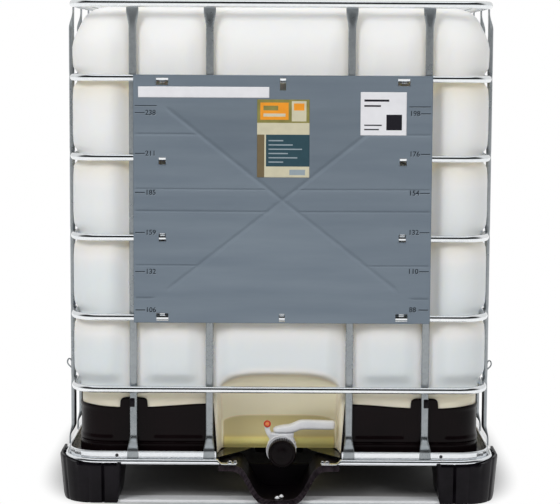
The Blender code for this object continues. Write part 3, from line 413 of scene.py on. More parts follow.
def corner_foot(name, sign_x, sign_y):
    """Block with a wide outer corner; ribs cut into the outer walls, the lip lowered at their end."""
    x1, y1 = PALLET_X, PALLET_Y
    x0, y0 = x1 - FOOT_WIDTH, y1 - FOOT_LENGTH
    bend = np.linspace(0.0, math.pi / 2, 26)
    run_y = np.linspace(y0 + FOOT_EDGE, y1 - FOOT_CORNER, 60)[1:-1]
    run_x = np.linspace(x1 - FOOT_CORNER, x0 + FOOT_EDGE, 44)[1:-1]
    small = np.linspace(0.0, math.pi / 2, 6)
    parts = [(x1 - FOOT_EDGE + FOOT_EDGE * np.sin(small), y0 + FOOT_EDGE - FOOT_EDGE * np.cos(small)),
             (0 * run_y + x1, run_y),
             (x1 - FOOT_CORNER + FOOT_CORNER * np.cos(bend), y1 - FOOT_CORNER + FOOT_CORNER * np.sin(bend)),
             (run_x, 0 * run_x + y1),
             (x0 + FOOT_EDGE - FOOT_EDGE * np.sin(small), y1 - FOOT_EDGE + FOOT_EDGE * np.cos(small)),
             (x0 + FOOT_EDGE - FOOT_EDGE * np.cos(small), y0 + FOOT_EDGE - FOOT_EDGE * np.sin(small))]
    x = np.concatenate([p[0] for p in parts])
    y = np.concatenate([p[1] for p in parts])
    outer = ((x > x1 - 0.0005) | (y > y1 - 0.0005) | ((x > x1 - FOOT_CORNER) & (y > y1 - FOOT_CORNER)))
    step_x = np.roll(x, -1) - np.roll(x, 1)
    step_y = np.roll(y, -1) - np.roll(y, 1)
    length = np.hypot(step_x, step_y)
    inward = np.stack([-step_y / length, step_x / length], -1)
    travel = np.cumsum(np.hypot(np.diff(x, prepend=x[0]), np.diff(y, prepend=y[0])))
    start = travel[len(parts[0][0])]
    ribs = np.zeros_like(x)
    for place, half, depth in ((0.062, 0.004, 0.005), (0.098, 0.0030, 0.0025), (0.128, 0.0030, 0.0025),
                               (0.160, 0.0030, 0.0025), (0.192, 0.0030, 0.0025), (0.226, 0.004, 0.005)):
        ribs += ridge(travel - start, place, half, depth)
    outline = np.stack([x, y], -1) + ribs[:, None] * inward
    around_corner = np.clip((y - (y1 - 0.045)) / 0.040, 0, 1) * (x < x1 - 0.0005)
    lip = outer * (1.0 - 1.02 * smooth(around_corner))
    rows = foot_loops(outline, lip, inward) * (sign_x, sign_y, 1.0)
    piece(name + "_shell", skin(rows), black, [name])


for name, sign_x, sign_y in (("foot_front_left", -1, -1), ("foot_front_right", 1, -1),
                             ("foot_back_left", -1, 1), ("foot_back_right", 1, 1)):
    corner_foot(name, sign_x, sign_y)


def block_foot(name, side):
    """Rounded block with ribs on its outer wall; side is the outward direction, or (0, 0)."""
    low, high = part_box(name)
    centre = np.array([(low.x + high.x) / 2, (low.y + high.y) / 2])
    points, outward = rounded_path((high.x - low.x) / 2, (high.y - low.y) / 2, FOOT_EDGE, 0.0025, 8)
    facing = outward[:, :2] @ np.array(side)
    across = points[:, :2] @ np.array([-side[1], side[0]])
    ribs = np.zeros(len(points))
    for place in (-0.045, -0.015, 0.015, 0.045):
        ribs += ridge(across, place, 0.0030, 0.0022) * (facing > 0.95)
    outline = points[:, :2] - ribs[:, None] * outward[:, :2] + centre
    rows = foot_loops(outline, (facing > 0.5).astype(float), -outward[:, :2])
    piece(name + "_shell", skin(rows), black, [name])


for name, side in (("foot_left_middle", (-1, 0)), ("foot_right_middle", (1, 0)),
                   ("foot_back_middle", (0, 1)), ("foot_centre", (0, 0))):
    block_foot(name, side)


# Drip trough: the middle foot of the valve side, one moulding with a level ear at each side and a
# ribbed front rim.  It is screwed to the runner through its floor.

def spline(points, count):
    """Catmull-Rom curve through the points: every span is the usual cubic of its four neighbours."""
    points = np.asarray(points, float)
    padded = np.vstack([2 * points[0] - points[1], points, 2 * points[-1] - points[-2]])
    place = np.linspace(0, len(points) - 1, count)
    span = np.minimum(place.astype(int), len(points) - 2)
    t = (place - span)[:, None]
    a, b, c, d = (padded[span + k] for k in range(4))
    return 0.5 * (2 * b + (c - a) * t + (2 * a - 5 * b + 4 * c - d) * t ** 2
                  + (3 * b - a - 3 * c + d) * t ** 3)


def full_turn(count):
    return 2 * math.pi * np.arange(count) / count


def turned(profile, centre, axis, around=64, lugs=0, lug=0.0, sharpness=1.0):
    """Turn (radius, distance, grip) rows round an axis: centre + (r + grip * lug * wave) * spoke + d * axis.

    The wave is the positive half of cos(lugs * angle), raised to a power for flatter or sharper lugs.
    """
    profile = np.array([tuple(entry) + (0.0,) * (3 - len(entry)) for entry in profile], float)
    axis = np.asarray(axis, float)
    side = np.array([1.0, 0.0, 0.0])
    rest = np.cross(axis, side)
    angle = full_turn(around)
    spoke = np.cos(angle)[:, None] * side + np.sin(angle)[:, None] * rest
    wave = np.clip(np.cos(lugs * angle), 0, 1) ** sharpness if lugs else 0 * angle
    radius = profile[:, :1] + profile[:, 2:] * lug * wave[None]
    return np.asarray(centre, float) + radius[..., None] * spoke[None] + profile[:, 1, None, None] * axis


trough_low, trough_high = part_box("foot_front_middle")
dark_plum = moulded("trough_moulding", (0.010, 0.007, 0.009), (0.034, 0.026, 0.032), 60.0, 0.50, 0.25)
# Painted shade: behind the rim the trough's colour is mixed to near black, so the rim stands out as a lit dark
# plum band.
tree = dark_plum.node_tree
place = node(tree, "ShaderNodeTexCoord").outputs["Object"]
from_front = node(tree, "ShaderNodeSeparateXYZ", {"Vector": place}).outputs["Y"]
shaded_behind_rim = remap(tree, from_front, trough_low.y + 0.005, trough_low.y + 0.012)
colour = tree.nodes["Principled BSDF"].inputs["Base Color"]
tree.links.new(blend(tree, shaded_behind_rim, colour.links[0].from_socket, (0.003, 0.002, 0.003, 1)), colour)
EAR_TOP = 0.0880
OUTER_CURVE = ((0.136, 0.076), (0.118, 0.076), (0.104, 0.0755), (0.091, 0.070), (0.0805, 0.058), (0.073, 0.044),
               (0.0635, 0.027), (0.0540, 0.0125), (0.0430, 0.0030), (0.028, 0.0003), (0.0, 0.0))
INNER_CURVE = ((0.136, EAR_TOP), (0.118, EAR_TOP), (0.100, EAR_TOP), (0.0865, 0.084), (0.0755, 0.071),
               (0.0660, 0.055), (0.0560, 0.036), (0.0455, 0.021), (0.034, 0.0125), (0.019, 0.0094),
               (0.0, 0.0090))


def mirrored(curve):
    """Spline through half a curve and its mirror image, from the right end to the left."""
    half = spline(curve, 110)
    return np.vstack([half, half[-2::-1] * (-1, 1)])


outer_wall = mirrored(OUTER_CURVE)
inner_wall = mirrored(INNER_CURVE)
depths = np.linspace(0.0016, trough_high.y - trough_low.y, 12)
band = np.linspace(1.0, 0.0, 15)
weight = np.concatenate([np.zeros(12), np.linspace(0, 1, 6)[1:-1], np.ones(12), band[1:-1]])
depth = np.concatenate([depths, np.full(4, depths[-1]), depths[::-1], np.zeros(13)])
in_band = np.concatenate([np.zeros(28), np.sin(math.pi * band[1:-1]) ** 0.5])
travel = np.cumsum(np.hypot(*np.diff(outer_wall, axis=0, prepend=outer_wall[:1]).T))
teeth = 0.5 + 0.5 * np.cos(2 * math.pi * travel / 0.0095)
hollow = 0.0042 * in_band[None] * (1 - 0.75 * teeth[:, None] ** 3)
plan = outer_wall[:, None] * (1 - weight[None, :, None]) + inner_wall[:, None] * weight[None, :, None]
rows = np.stack([plan[..., 0], trough_low.y + depth[None] + hollow, plan[..., 1]], -1)
piece("trough_shell", skin(rows), dark_plum, ["foot_front_middle"])

BACK_WALL_TOP = 0.062
BACK_WALL_SHEET = 0.007
level = np.linspace(0.008, BACK_WALL_TOP, 24)[:, None]
reach = np.interp(level, inner_wall[109::-1, 1], inner_wall[109::-1, 0]) + 0.002
thick = BACK_WALL_SHEET + 0.004 * level / BACK_WALL_TOP
rows = np.stack([reach * (-1, -1, 0, 1, 1, 0), trough_high.y - 0.0005 - thick * (0, 1, 1, 1, 0, 0),
                 level + np.zeros(6)], -1)
piece("trough_back_wall", skin(rows), dark_plum)


def screw_head(name, centre, axis, radius, height, finish):
    """Domed head on a washer, with a dimple for the driver."""
    profile = [(radius * 1.35, 0.0), (radius * 1.35, height * 0.18), (radius * 1.05, height * 0.24),
               (radius, height * 0.30), (radius * 0.96, height * 0.62), (radius * 0.78, height * 0.88),
               (radius * 0.46, height), (radius * 0.42, height * 0.96), (radius * 0.30, height * 0.55)]
    return piece(name, skin(turned(profile, centre, axis, 24)), finish)


for number, spot in enumerate(((-0.0035, -0.574), (0.006, -0.560)), start=1):
    screw_head(f"trough_screw_{number}", (*spot, 0.0092), (0, 0, 1), 0.0042, 0.0045, zinc)


# Tray and base tube: a pressed tray of zinc-coated sheet under the bottle, held by a bent tube whose
# flattened ends are stepped down and screwed onto the ears of the trough.

def signed_power(value, power):
    return np.sign(value) * np.abs(value) ** power


def superellipse(centre, side, up, half_side, half_up, around=20, squareness=1.0):
    """Closed section at every station: centre + a * cos^s * side + b * sin^s * up."""
    angle = full_turn(around)
    across = signed_power(np.cos(angle), squareness)
    rise = signed_power(np.sin(angle), squareness)
    half_side = np.broadcast_to(half_side, len(centre))[:, None, None]
    half_up = np.broadcast_to(half_up, len(centre))[:, None, None]
    side = np.broadcast_to(side, centre.shape)[:, None]
    up = np.broadcast_to(up, centre.shape)[:, None]
    return centre[:, None] + half_side * across[:, None] * side + half_up * rise[:, None] * up


def without_front(points, outward, half_gap):
    """The path without its front stretch from -half_gap to half_gap, from the right end to the left."""
    front = (np.abs(points[:, 0]) < half_gap) & (points[:, 1] < 0)
    left_out = int(front.sum())
    order = np.roll(np.arange(len(points)), -int(np.argmax(front)) - left_out)[:len(points) - left_out]
    return points[order], outward[order]


BASE_HEIGHT = 0.095
BASE_RADIUS = 0.007
BASE_GAP = 0.145
BASE_END = 0.096
BASE_END_HEIGHT = 0.0903
BASE_END_HALF_SHEET = 0.002
BASE_HALF_X = 0.4855
BASE_HALF_Y = 0.5855
BASE_CORNER = 0.080
bright_zinc = galvanised("bright_zinc", (0.80, 0.83, 0.86), (0.92, 0.94, 0.96), 0.15, metallic=1.0)
steel_dark = galvanised("dark_rivet", (0.06, 0.06, 0.07), (0.12, 0.12, 0.13), 0.45)
points, outward = without_front(*rounded_path(BASE_HALF_X, BASE_HALF_Y, BASE_CORNER), BASE_GAP)
reach = np.linspace(BASE_GAP, BASE_END, 24)
end = np.stack([reach, 0 * reach - BASE_HALF_Y, 0 * reach], -1)
points = np.vstack([end[::-1], points, end * (-1, 1, 1)])
outward = np.pad(outward, ((len(end), len(end)), (0, 0)), "edge")
near_end = smooth((0.141 - np.abs(points[:, 0])) / 0.013) * (points[:, 1] < 0)
points[:, 2] = BASE_HEIGHT - near_end * (BASE_HEIGHT - BASE_END_HEIGHT)
half_up = BASE_RADIUS * (1 - near_end) + BASE_END_HALF_SHEET * near_end
half_side = BASE_RADIUS * (1 + 0.25 * near_end)
up = np.array([0.0, 0.0, 1.0])
piece("base_tube", skin(superellipse(points, outward, up, half_side, half_up)), bright_zinc,
      ["base_ring"])
for number, (spot, radius) in enumerate(((-0.1105, 0.0052), (-0.0985, 0.0040), (0.1085, 0.0052),
                                         (0.0985, 0.0040)), start=1):
    screw_head(f"base_screw_{number}", (spot, -BASE_HALF_Y, 0.0921), (0, 0, 1), radius, 0.0060, bright_zinc)

# Painted shade: below the tray's floor height its underside takes the dark zinc colour.
tray_zinc = galvanised("tray_zinc", (0.80, 0.83, 0.86), (0.92, 0.94, 0.96), 0.22, 0.0975)
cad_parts["pallet_tray"].material_slots[0].material = tray_zinc
TRAY_LIP = 0.1155
HEM_RADIUS = 0.0019
HEM_GAP = 0.1405
HEM_END = (0.1425, 0, 0)
tray_low, tray_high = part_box("pallet_tray")
path = rounded_path(tray_high.x - 0.001, tray_high.y - 0.001, 0.0717)
points, outward = without_front(*path, HEM_GAP)
points = np.vstack([points[0] * (0, 1, 1) + HEM_END, points, points[0] * (0, 1, 1) - HEM_END])
points[:, 2] = TRAY_LIP
outward = np.pad(outward, ((1, 1), (0, 0)), "edge")
hem = superellipse(points, outward, up, HEM_RADIUS, HEM_RADIUS, 12)
piece("tray_hem", skin(hem), bright_zinc)
for number, spot in enumerate((-0.366, 0.366), start=1):
    screw_head(f"tray_rivet_{number}", (spot, tray_low.y, 0.1075), (0, -1, 0), 0.0028, 0.0022, steel_dark)


# Bottle: blow-moulded natural polyethylene.  It pillows out between the ring tubes and posts, has a
# niche for the valve low in front, and a sunken neck on top.

RINGS = np.array((0.957, 0.780, 0.601, 0.421, 0.2565))
BOTTLE_X = 0.4577
BOTTLE_Y = 0.5454
BOTTLE_CORNER = 0.070
BOTTLE_FLOOR = 0.0968
BOTTLE_TOP = 1.117
SHOULDER = 0.093
SHOULDER_INSET = 0.090
FOOT_ROUND = 0.045
WAIST = 0.236
WAIST_INSET = 0.0043
NICHE_HALF = 0.142
NICHE_BACK = 0.455
FRONT_POSTS = np.array((-0.330, -0.158, 0.158, 0.330))


def away_from(value, marks, dead, reach):
    """0 within the dead width of the nearest mark, rising smoothly to 1 over the reach."""
    nearest = np.abs(np.asarray(value)[..., None] - marks).min(-1)
    return smooth((nearest - dead) / reach)


def soft_step(value, softness):
    """Ramp from 0 to 1 with rounded ends: softplus(v) - softplus(v - 1)."""
    return softness * (np.logaddexp(0, value / softness) - np.logaddexp(0, (value - 1) / softness))


FLAT_X = BOTTLE_X - BOTTLE_CORNER
FLAT_Y = BOTTLE_Y - BOTTLE_CORNER
half_run = np.concatenate([np.linspace(0, 0.120, 21)[:-1], np.linspace(0.120, 0.150, 16)[:-1],
                           np.linspace(0.150, FLAT_X, 34)]) / FLAT_X
front_run = np.concatenate([-half_run[::-1], half_run[1:]])
side_run = np.linspace(-1, 1, 61)


def bottle_plan(setback):
    """Plan of the bottle and its outward normals for an array of setbacks: x, y, normal x, normal y.

    Each quarter is a straight run, normal * half + along * run, and an arc round the next corner,
    centre + radius * (cos * normal + sin * along).  The outer half of a run takes up the setback.
    """
    half = np.array([BOTTLE_X, BOTTLE_Y])[:, None, None] - setback[:, None]
    flat = np.array([FLAT_X, FLAT_Y])[:, None, None]
    bend = np.linspace(0, math.pi / 2, 15)[1:-1]
    plan, facing = [], []
    for normal, along, run in (((0, -1), (1, 0), front_run), ((1, 0), (0, 1), side_run),
                               ((0, 1), (-1, 0), side_run), ((-1, 0), (0, -1), side_run)):
        normal, along = (np.array(part)[:, None, None] for part in (normal, along))
        outer = 0.5 + (np.abs(run) - 0.5) * (0.5 * flat - setback[:, None]) / (0.5 * flat)
        run = np.sign(run) * np.where(np.abs(run) <= 0.5, np.abs(run), outer) * flat
        arc = normal * np.cos(bend) + along * np.sin(bend)
        plan += [normal * half + along * run, (normal + along) * (half - BOTTLE_CORNER) + BOTTLE_CORNER * arc]
        facing += [normal + 0 * run, arc + 0 * half]
    return (*np.concatenate(plan, -1), *np.concatenate(facing, -1))


rise = np.linspace(0, math.pi / 2, 12)
heights = [BOTTLE_FLOOR + FOOT_ROUND * (1 - np.cos(rise))]
setbacks = [WAIST_INSET + FOOT_ROUND * (1 - np.sin(rise))]
wall = np.concatenate([np.linspace(0.146, WAIST, 22), np.linspace(WAIST + 0.008, 0.30, 14),
                       np.linspace(0.306, BOTTLE_TOP - SHOULDER - 0.006, 112)])
heights.append(wall)
setbacks.append(np.where(wall <= WAIST, WAIST_INSET, 0.0))
turn = np.linspace(0, math.pi / 2, 26)
heights.append(BOTTLE_TOP - SHOULDER + SHOULDER * np.sin(turn) ** (2 / 3))
setbacks.append(SHOULDER_INSET * (1 - np.cos(turn) ** (2 / 3)))
height = np.concatenate(heights)
x, y, nx, ny = bottle_plan(np.concatenate(setbacks))
z = height[:, None] * np.ones_like(x)
between_rings = away_from(z, np.append(RINGS, 1.20), 0.004, 0.052)
tight_rings = away_from(z, np.append(RINGS, 1.20), 0.0045, 0.020)
on_wall = smooth((z - 0.262) / 0.03) * smooth((BOTTLE_TOP - 0.035 - z) / 0.06)
between_posts = away_from(x, FRONT_POSTS, 0.011, 0.045)
on_end = np.abs(ny) ** 2
bulge = on_wall * (on_end * between_posts * (0.0085 + 0.0045 * between_rings)
                   + (1 - on_end) * (0.0115 * tight_rings + 0.0025 * between_rings))
x = x + bulge * nx
y = y + bulge * ny
in_front = (y < 0) & (np.abs(x) < 0.16)
top_edge = 0.284 - 0.034 * (np.abs(x) / NICHE_HALF) ** 4
low_edge = 0.172 - 0.014 * (np.abs(x) / NICHE_HALF) ** 6
deep = soft_step((top_edge - z) / (top_edge - low_edge), 0.15)
floor_curl = 0.014 * smooth((0.118 - z) / 0.022) ** 2
niche_y = -BOTTLE_Y + 0.002 + deep * (BOTTLE_Y - 0.002 - NICHE_BACK) + floor_curl
inside = smooth((NICHE_HALF + 0.0005 - np.abs(x)) / 0.0110) * smooth((top_edge + 0.012 - z) / 0.02)
y = np.where(in_front, y + inside * np.maximum(niche_y - y, 0.0), y)
walls = np.stack([x, y, z], -1)

RECESS = 0.130
RECESS_FLOOR = 1.079
NECK_OUT = 0.079
NECK_BORE = 0.072
NECK_TOP = 1.107
theta = np.arctan2(walls[-1, :, 1], walls[-1, :, 0])
ring = np.stack([np.cos(theta), np.sin(theta), 0 * theta], -1)
edge = walls[-1]
share = np.array([0.35, 0.7, 0.93])[:, None, None]
deck = edge[None] * (1 - share) + share * (ring * (RECESS + 0.012) + (0, 0, BOTTLE_TOP))
profile = [(RECESS + 0.004, BOTTLE_TOP), (RECESS, BOTTLE_TOP - 0.003), (RECESS - 0.004, BOTTLE_TOP - 0.012),
           (RECESS - 0.012, RECESS_FLOOR + 0.006), (RECESS - 0.018, RECESS_FLOOR + 0.001),
           (RECESS - 0.024, RECESS_FLOOR), (NECK_OUT + 0.004, RECESS_FLOOR), (NECK_OUT, RECESS_FLOOR + 0.003)]
for turn_number in range(3):
    low = RECESS_FLOOR + 0.006 + 0.0065 * turn_number
    profile += [(NECK_OUT, low), (NECK_OUT + 0.0028, low + 0.002), (NECK_OUT + 0.0028, low + 0.0032),
                (NECK_OUT, low + 0.0052)]
profile += [(NECK_OUT, NECK_TOP - 0.001), (NECK_OUT - 0.001, NECK_TOP), (NECK_BORE + 0.001, NECK_TOP),
            (NECK_BORE, NECK_TOP - 0.001), (NECK_BORE, 1.078), (NECK_BORE + 0.010, 1.074),
            (0.200, 1.068), (0.360, 1.040), (0.420, 0.960), (0.420, 0.320), (0.400, 0.130), (0.330, 0.104)]
profile = np.array(profile)
neck = profile[:, :1, None] * ring[None] * (1, 1, 0) + profile[:, 1, None, None] * (0, 0, 1)
rows = np.concatenate([walls, deck, neck])


def natural_plastic():
    """Milky bottle plastic: tones along the piece's own attribute of painted light and shade, with soft light
    inside.

    Where that attribute is high, in the niche, the plastic also glows a little: a painted glow that stands
    in for daylight coming through the thin wall from inside the bottle.
    """
    finish, tree, shader, place = material("natural_polyethylene")
    painted_shading = node(tree, "ShaderNodeAttribute", attribute_name="painted_shading").outputs["Fac"]
    drift = reckon(tree, "ADD", noise(tree, place, 5.0, 3.0), -0.5)
    mottle = reckon(tree, "MULTIPLY_ADD", drift, 0.10, painted_shading)
    tones = ramp(tree, mottle, [(0.0, (0.77, 0.82, 0.84)), (0.14, (0.88, 0.88, 0.87)),
                                (0.34, (0.87, 0.84, 0.76)), (0.46, (1.0, 0.90, 0.70)),
                                (0.64, (1.0, 0.92, 0.68)), (0.80, (0.68, 0.60, 0.34)),
                                (0.88, (0.72, 0.61, 0.28)), (1.0, (1.0, 0.88, 0.34))])
    feed(tree, shader, {"Base Color": tones, "Roughness": 0.42, "Specular IOR Level": 0.35,
                        "Subsurface Weight": 0.30, "Subsurface Radius": (0.022, 0.019, 0.014),
                        "Subsurface Scale": 1.0, "Emission Color": tones,
                        "Emission Strength": remap(tree, painted_shading, 0.44, 0.50, 0.0, 0.085),
                        "Normal": roughened(tree, place, 60.0, 2.0, 0.12, 0.0015)})
    return finish


# Painted light and shade stored on the bottle: painted shade as milky blue low in the bays, white high up,
# cream painted shade under the bars and beside the posts, and in the niche tan at the roof running to olive for
# the shade there.
below = RINGS[None, None] - z[..., None]
shade_under_bar = np.where(below > 0, np.exp(-(below / 0.045) ** 2), 0.0).max(-1)
shade_beside_post = np.exp(-((np.abs(x)[..., None] - FRONT_POSTS) / 0.022) ** 2).max(-1) * on_end
painted_shading = 0.02 + 0.12 * smooth((z - 0.35) / 0.65) + 0.30 * shade_under_bar * (z > 0.24) + 0.16 * shade_beside_post
painted_shading = np.maximum(painted_shading, 0.44 * smooth((0.262 - z) / 0.02))
niche_tone = (smooth((NICHE_HALF + 0.0005 - np.abs(x)) / 0.016) * smooth((top_edge + 0.028 - z) / 0.034)
              * in_front)
level_line = 0.184 - 0.024 * (np.abs(x) / NICHE_HALF) ** 6
low_niche = smooth((level_line - z) / 0.009)
# Painted highlight: a bright band along the foot of the niche.
painted_foot_highlight = smooth((0.133 - z) / 0.012)
niche_light_and_shade = 0.50 + 0.08 * smooth((0.27 - z) / 0.07) + low_niche * 0.24 + 0.17 * painted_foot_highlight
# Painted light: the niche's side walls turn lighter, where light passes the thin plastic.
lit_rim_side = smooth((np.abs(x) - NICHE_HALF + 0.016) / 0.010)
niche_light_and_shade = niche_light_and_shade * (1 - lit_rim_side) + 0.40 * lit_rim_side
painted_shading = np.where(niche_tone > 0.02, niche_tone * niche_light_and_shade + (1 - niche_tone) * painted_shading, painted_shading)
painted_shading = np.concatenate([painted_shading, np.full((len(rows) - len(painted_shading), painted_shading.shape[1]), 0.12)])
bottle = piece("bottle_shell", skin(rows), natural_plastic(), ["bottle"])
values = np.append(painted_shading.reshape(-1), (0.4, 0.12)).astype(np.float32)
bottle.data.attributes.new("painted_shading", "FLOAT", "POINT").data.foreach_set("value", values)


# Corner guards: two black moulded wraps behind the posts, round the lower front corners of the
# bottle.  Each has a tab behind the outer post, held by a small clip, and a sunken panel.

GUARD_SHEET = 0.004
GUARD_FLOOR = 0.0968
GUARD_DIP = 0.211
GUARD_TOP = 0.220
TAB_TOP = 0.234
TAB_HALF = 0.030
brown_black = moulded("guard_moulding", (0.0030, 0.0016, 0.0019), (0.0060, 0.0032, 0.0038), 9.0, 0.22, 0.05)
GUARD_INNER_END = 0.149
GUARD_SIDE_END = 0.300
SIDE_TAB = 0.420
CLIP = (0.3325, -0.5578, 0.2245)
front_x = np.concatenate([np.linspace(GUARD_INNER_END, 0.298, 60), np.linspace(0.2985, 0.308, 14),
                          np.linspace(0.310, 0.350, 20), np.linspace(0.352, 0.3615, 14),
                          np.linspace(0.363, FLAT_X, 12)[:-1]])
bend = np.linspace(0, math.pi / 2, 24)
side_y = np.linspace(-FLAT_Y, -GUARD_SIDE_END, 60)[1:]
path_x = np.concatenate([front_x, FLAT_X + BOTTLE_CORNER * np.sin(bend), 0 * side_y + BOTTLE_X])
path_y = np.concatenate([0 * front_x - BOTTLE_Y, -FLAT_Y - BOTTLE_CORNER * np.cos(bend), side_y])
normal_x = np.concatenate([0 * front_x, np.sin(bend), 0 * side_y + 1])
normal_y = np.concatenate([0 * front_x - 1, -np.cos(bend), 0 * side_y])
travel = np.cumsum(np.hypot(np.diff(path_x, prepend=path_x[0]), np.diff(path_y, prepend=path_y[0])))
tab_place = FRONT_POSTS[-1] - GUARD_INNER_END
side_tab_place = travel[-1] - (SIDE_TAB - GUARD_SIDE_END)
from_tab = np.minimum(np.abs(travel - tab_place), np.abs(travel - side_tab_place)) / (TAB_HALF + 0.001)
on_tab = np.clip(1 - from_tab ** 5, 0, 1) ** 0.2
swell = GUARD_TOP - (GUARD_TOP - GUARD_DIP) * np.sin(np.pi * np.clip(travel / (2 * tab_place), 0, 1)) ** 2
swell = np.where(travel > tab_place, GUARD_DIP + (GUARD_TOP - GUARD_DIP) * 0.55
                 * smooth((travel - tab_place - 0.02) / 0.10), swell)
guard_top = swell * (1 - on_tab) + TAB_TOP * on_tab
lean = 0.009 * (1 - np.clip(travel / 0.012, 0, 1))
panel = smooth((travel - 0.022) / 0.006) * (1 - smooth((travel - 0.132) / 0.006))
panel = panel + smooth((travel - tab_place - 0.045) / 0.006) * (1 - smooth((travel - 0.46) / 0.008))
share = np.concatenate([np.linspace(0, 0.12, 4), np.linspace(0.16, 0.50, 30), np.linspace(0.55, 0.9, 10),
                        np.linspace(0.93, 1.0, 6)])
level = GUARD_FLOOR + share[None] * (guard_top[:, None] - GUARD_FLOOR)
sunk = 0.0021 * smooth((level - 0.1385) / 0.010) * smooth((guard_top[:, None] - 0.006 - level) / 0.006)
groove = 0.0016 * np.exp(-((level - 0.1300) / 0.0022) ** 2)
round_edge = 0.0011 * np.clip((level - guard_top[:, None] + 0.0022) / 0.0022, 0, 1) ** 2
setback = np.minimum(sunk * panel[:, None] + groove + round_edge, 0.0030)
tilt = lean[:, None] * (1 - share[None])
clip = rounded_strip(0.0110, 0.0200, 0.002, 5)
stand_off = np.array([0.0, 0.0012, 0.0020])[:, None]
shrink = np.array([1.0, 1.0, 0.9])[:, None]
for name, sign in (("corner_guard_left", -1), ("corner_guard_right", 1)):
    outer = np.stack([path_x[:, None] - setback * normal_x[:, None] - tilt,
                      path_y[:, None] - setback * normal_y[:, None], level], -1)
    inner = np.stack([path_x[:, None] - GUARD_SHEET * normal_x[:, None] - tilt,
                      path_y[:, None] - GUARD_SHEET * normal_y[:, None] + 0 * level, level], -1)[:, ::-1]
    rows = np.concatenate([outer, inner], 1) * (sign, 1, 1)
    piece(name + "_shell", skin(rows), brown_black, [name])
    spots = np.stack([sign * CLIP[0] + shrink * clip[:, 0], CLIP[1] - stand_off + 0 * clip[:, 0],
                      CLIP[2] + shrink * clip[:, 1]], -1)
    piece(f"guard_clip_{'left' if sign < 0 else 'right'}", skin(spots), black)


# Cage: round zinc-coated tubes bent into rings, and upright tubes with dents at each crossing, spot
# welded to the rings.  The posts' ends are pressed flat.

# Painted shade: the posts, crossbars, hooks, weld beads and valve stem take a darker copy of the zinc coat than
# the rings, standing in for the darker surroundings they mirror.
shaded_steel = galvanised("cage_zinc_shaded", (0.27, 0.295, 0.31), (0.40, 0.425, 0.44), 0.28)
ring_zinc = galvanised("ring_zinc", (0.78, 0.81, 0.83), (0.90, 0.92, 0.93), 0.12, metallic=1.0)
SIDE_POSTS = np.array((-0.420, -0.255, -0.090, 0.090, 0.255, 0.420))
CAGE_CORNER = 0.058
DENT = 0.10
for name, dent, around in (*((f"ring_bar_{number}", DENT, 20) for number in range(1, 6)), ("top_rim", 0.0, 24)):
    low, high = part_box(name)
    radius = (high.z - low.z) / 2
    points, outward = rounded_path(high.x - radius, high.y - radius, CAGE_CORNER)
    points[:, 2] = (low.z + high.z) / 2
    on_front = np.abs(outward[:, 1]) > 0.99
    crossing = np.where(on_front, 1 - away_from(points[:, 0], FRONT_POSTS, 0.0, 0.016), 0)
    crossing = crossing + np.where(np.abs(outward[:, 0]) > 0.99,
                                   1 - away_from(points[:, 1], SIDE_POSTS, 0.0, 0.016), 0)
    half_side = radius * (1 - dent * crossing)
    points = points + outward * (radius * dent * crossing * np.where(on_front, 1, -1))[:, None]
    rows = superellipse(points, outward, up, half_side, radius, around)
    piece(name + "_tube", skin(rows, closed=True), ring_zinc, [name])


BODY = {False: {"foot": 0.5797, "wall": 0.5517, "top": 0.5542},
        True: {"foot": 0.4895, "wall": 0.4803, "top": 0.4758}}
POST_HALF_WIDTH = 0.0086
POST_HALF_DEPTH = 0.0060
PRESSED_HALF = 0.0015


def post_rows(node_name, outward, along, place):
    """Oval sections up a post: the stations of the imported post, with dents where rings cross it.

    Between two stations every value follows a smooth step, so the pressed ends blend in.
    """
    low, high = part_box(node_name)
    body = BODY[abs(outward[0]) > 0.5]
    stations = np.array([(low.z, body["foot"], 0.0128, PRESSED_HALF),
                         (0.1165, body["foot"], 0.0122, PRESSED_HALF),
                         (0.1495, body["wall"], POST_HALF_WIDTH, POST_HALF_DEPTH),
                         (1.0672, body["wall"], POST_HALF_WIDTH, POST_HALF_DEPTH),
                         (1.1062, body["top"], 0.0136, PRESSED_HALF),
                         (high.z, body["top"], 0.0140, PRESSED_HALF)])
    heights = np.unique(np.concatenate([np.linspace(low.z, 0.16, 22), np.linspace(0.16, 1.06, 150),
                                        np.linspace(1.06, high.z, 26)]))
    span = np.clip(np.searchsorted(stations[:, 0], heights, side="right") - 1, 0, len(stations) - 2)
    share = smooth((heights - stations[span, 0]) / (stations[span + 1, 0] - stations[span, 0]))[:, None]
    values = stations[span, 1:] * (1 - share) + stations[span + 1, 1:] * share
    dent = (1 - away_from(heights, RINGS, 0.0, 0.013)) * DENT * POST_HALF_DEPTH
    centre = outward * (values[:, :1]) + along * place + heights[:, None] * up
    return superellipse(centre, along, outward, values[:, 1] + dent, values[:, 2] - dent, 20, 0.8)


for wall_name, direction, along, places in (("front", (0, -1, 0), (1, 0, 0), FRONT_POSTS),
                                            ("back", (0, 1, 0), (1, 0, 0), FRONT_POSTS),
                                            ("left", (-1, 0, 0), (0, 1, 0), SIDE_POSTS),
                                            ("right", (1, 0, 0), (0, 1, 0), SIDE_POSTS)):
    for number, place in enumerate(places, start=1):
        name = f"post_{wall_name}_{number}"
        rows = post_rows(name, np.array(direction, float), np.array(along, float), place)
        piece(name + "_tube", skin(rows), shaded_steel, [name])

# Weld beads: small balls on the rings at both edges of every post, all in one piece.
BEAD_RADIUS = 0.0026
BEAD_HALF_LENGTH = 0.0040
BEAD_FROM_POST = 0.0082
BEAD_WALL_Y = 0.5580
BEAD_WALL_X = 0.4740


def both_edges(posts):
    """Across and wall side of the beads at both edges of every post, on both walls."""
    place, side, edge = np.meshgrid(posts, (-1, 1), (-1, 1), indexing="ij")
    return (place + edge * BEAD_FROM_POST).ravel(), side.ravel()


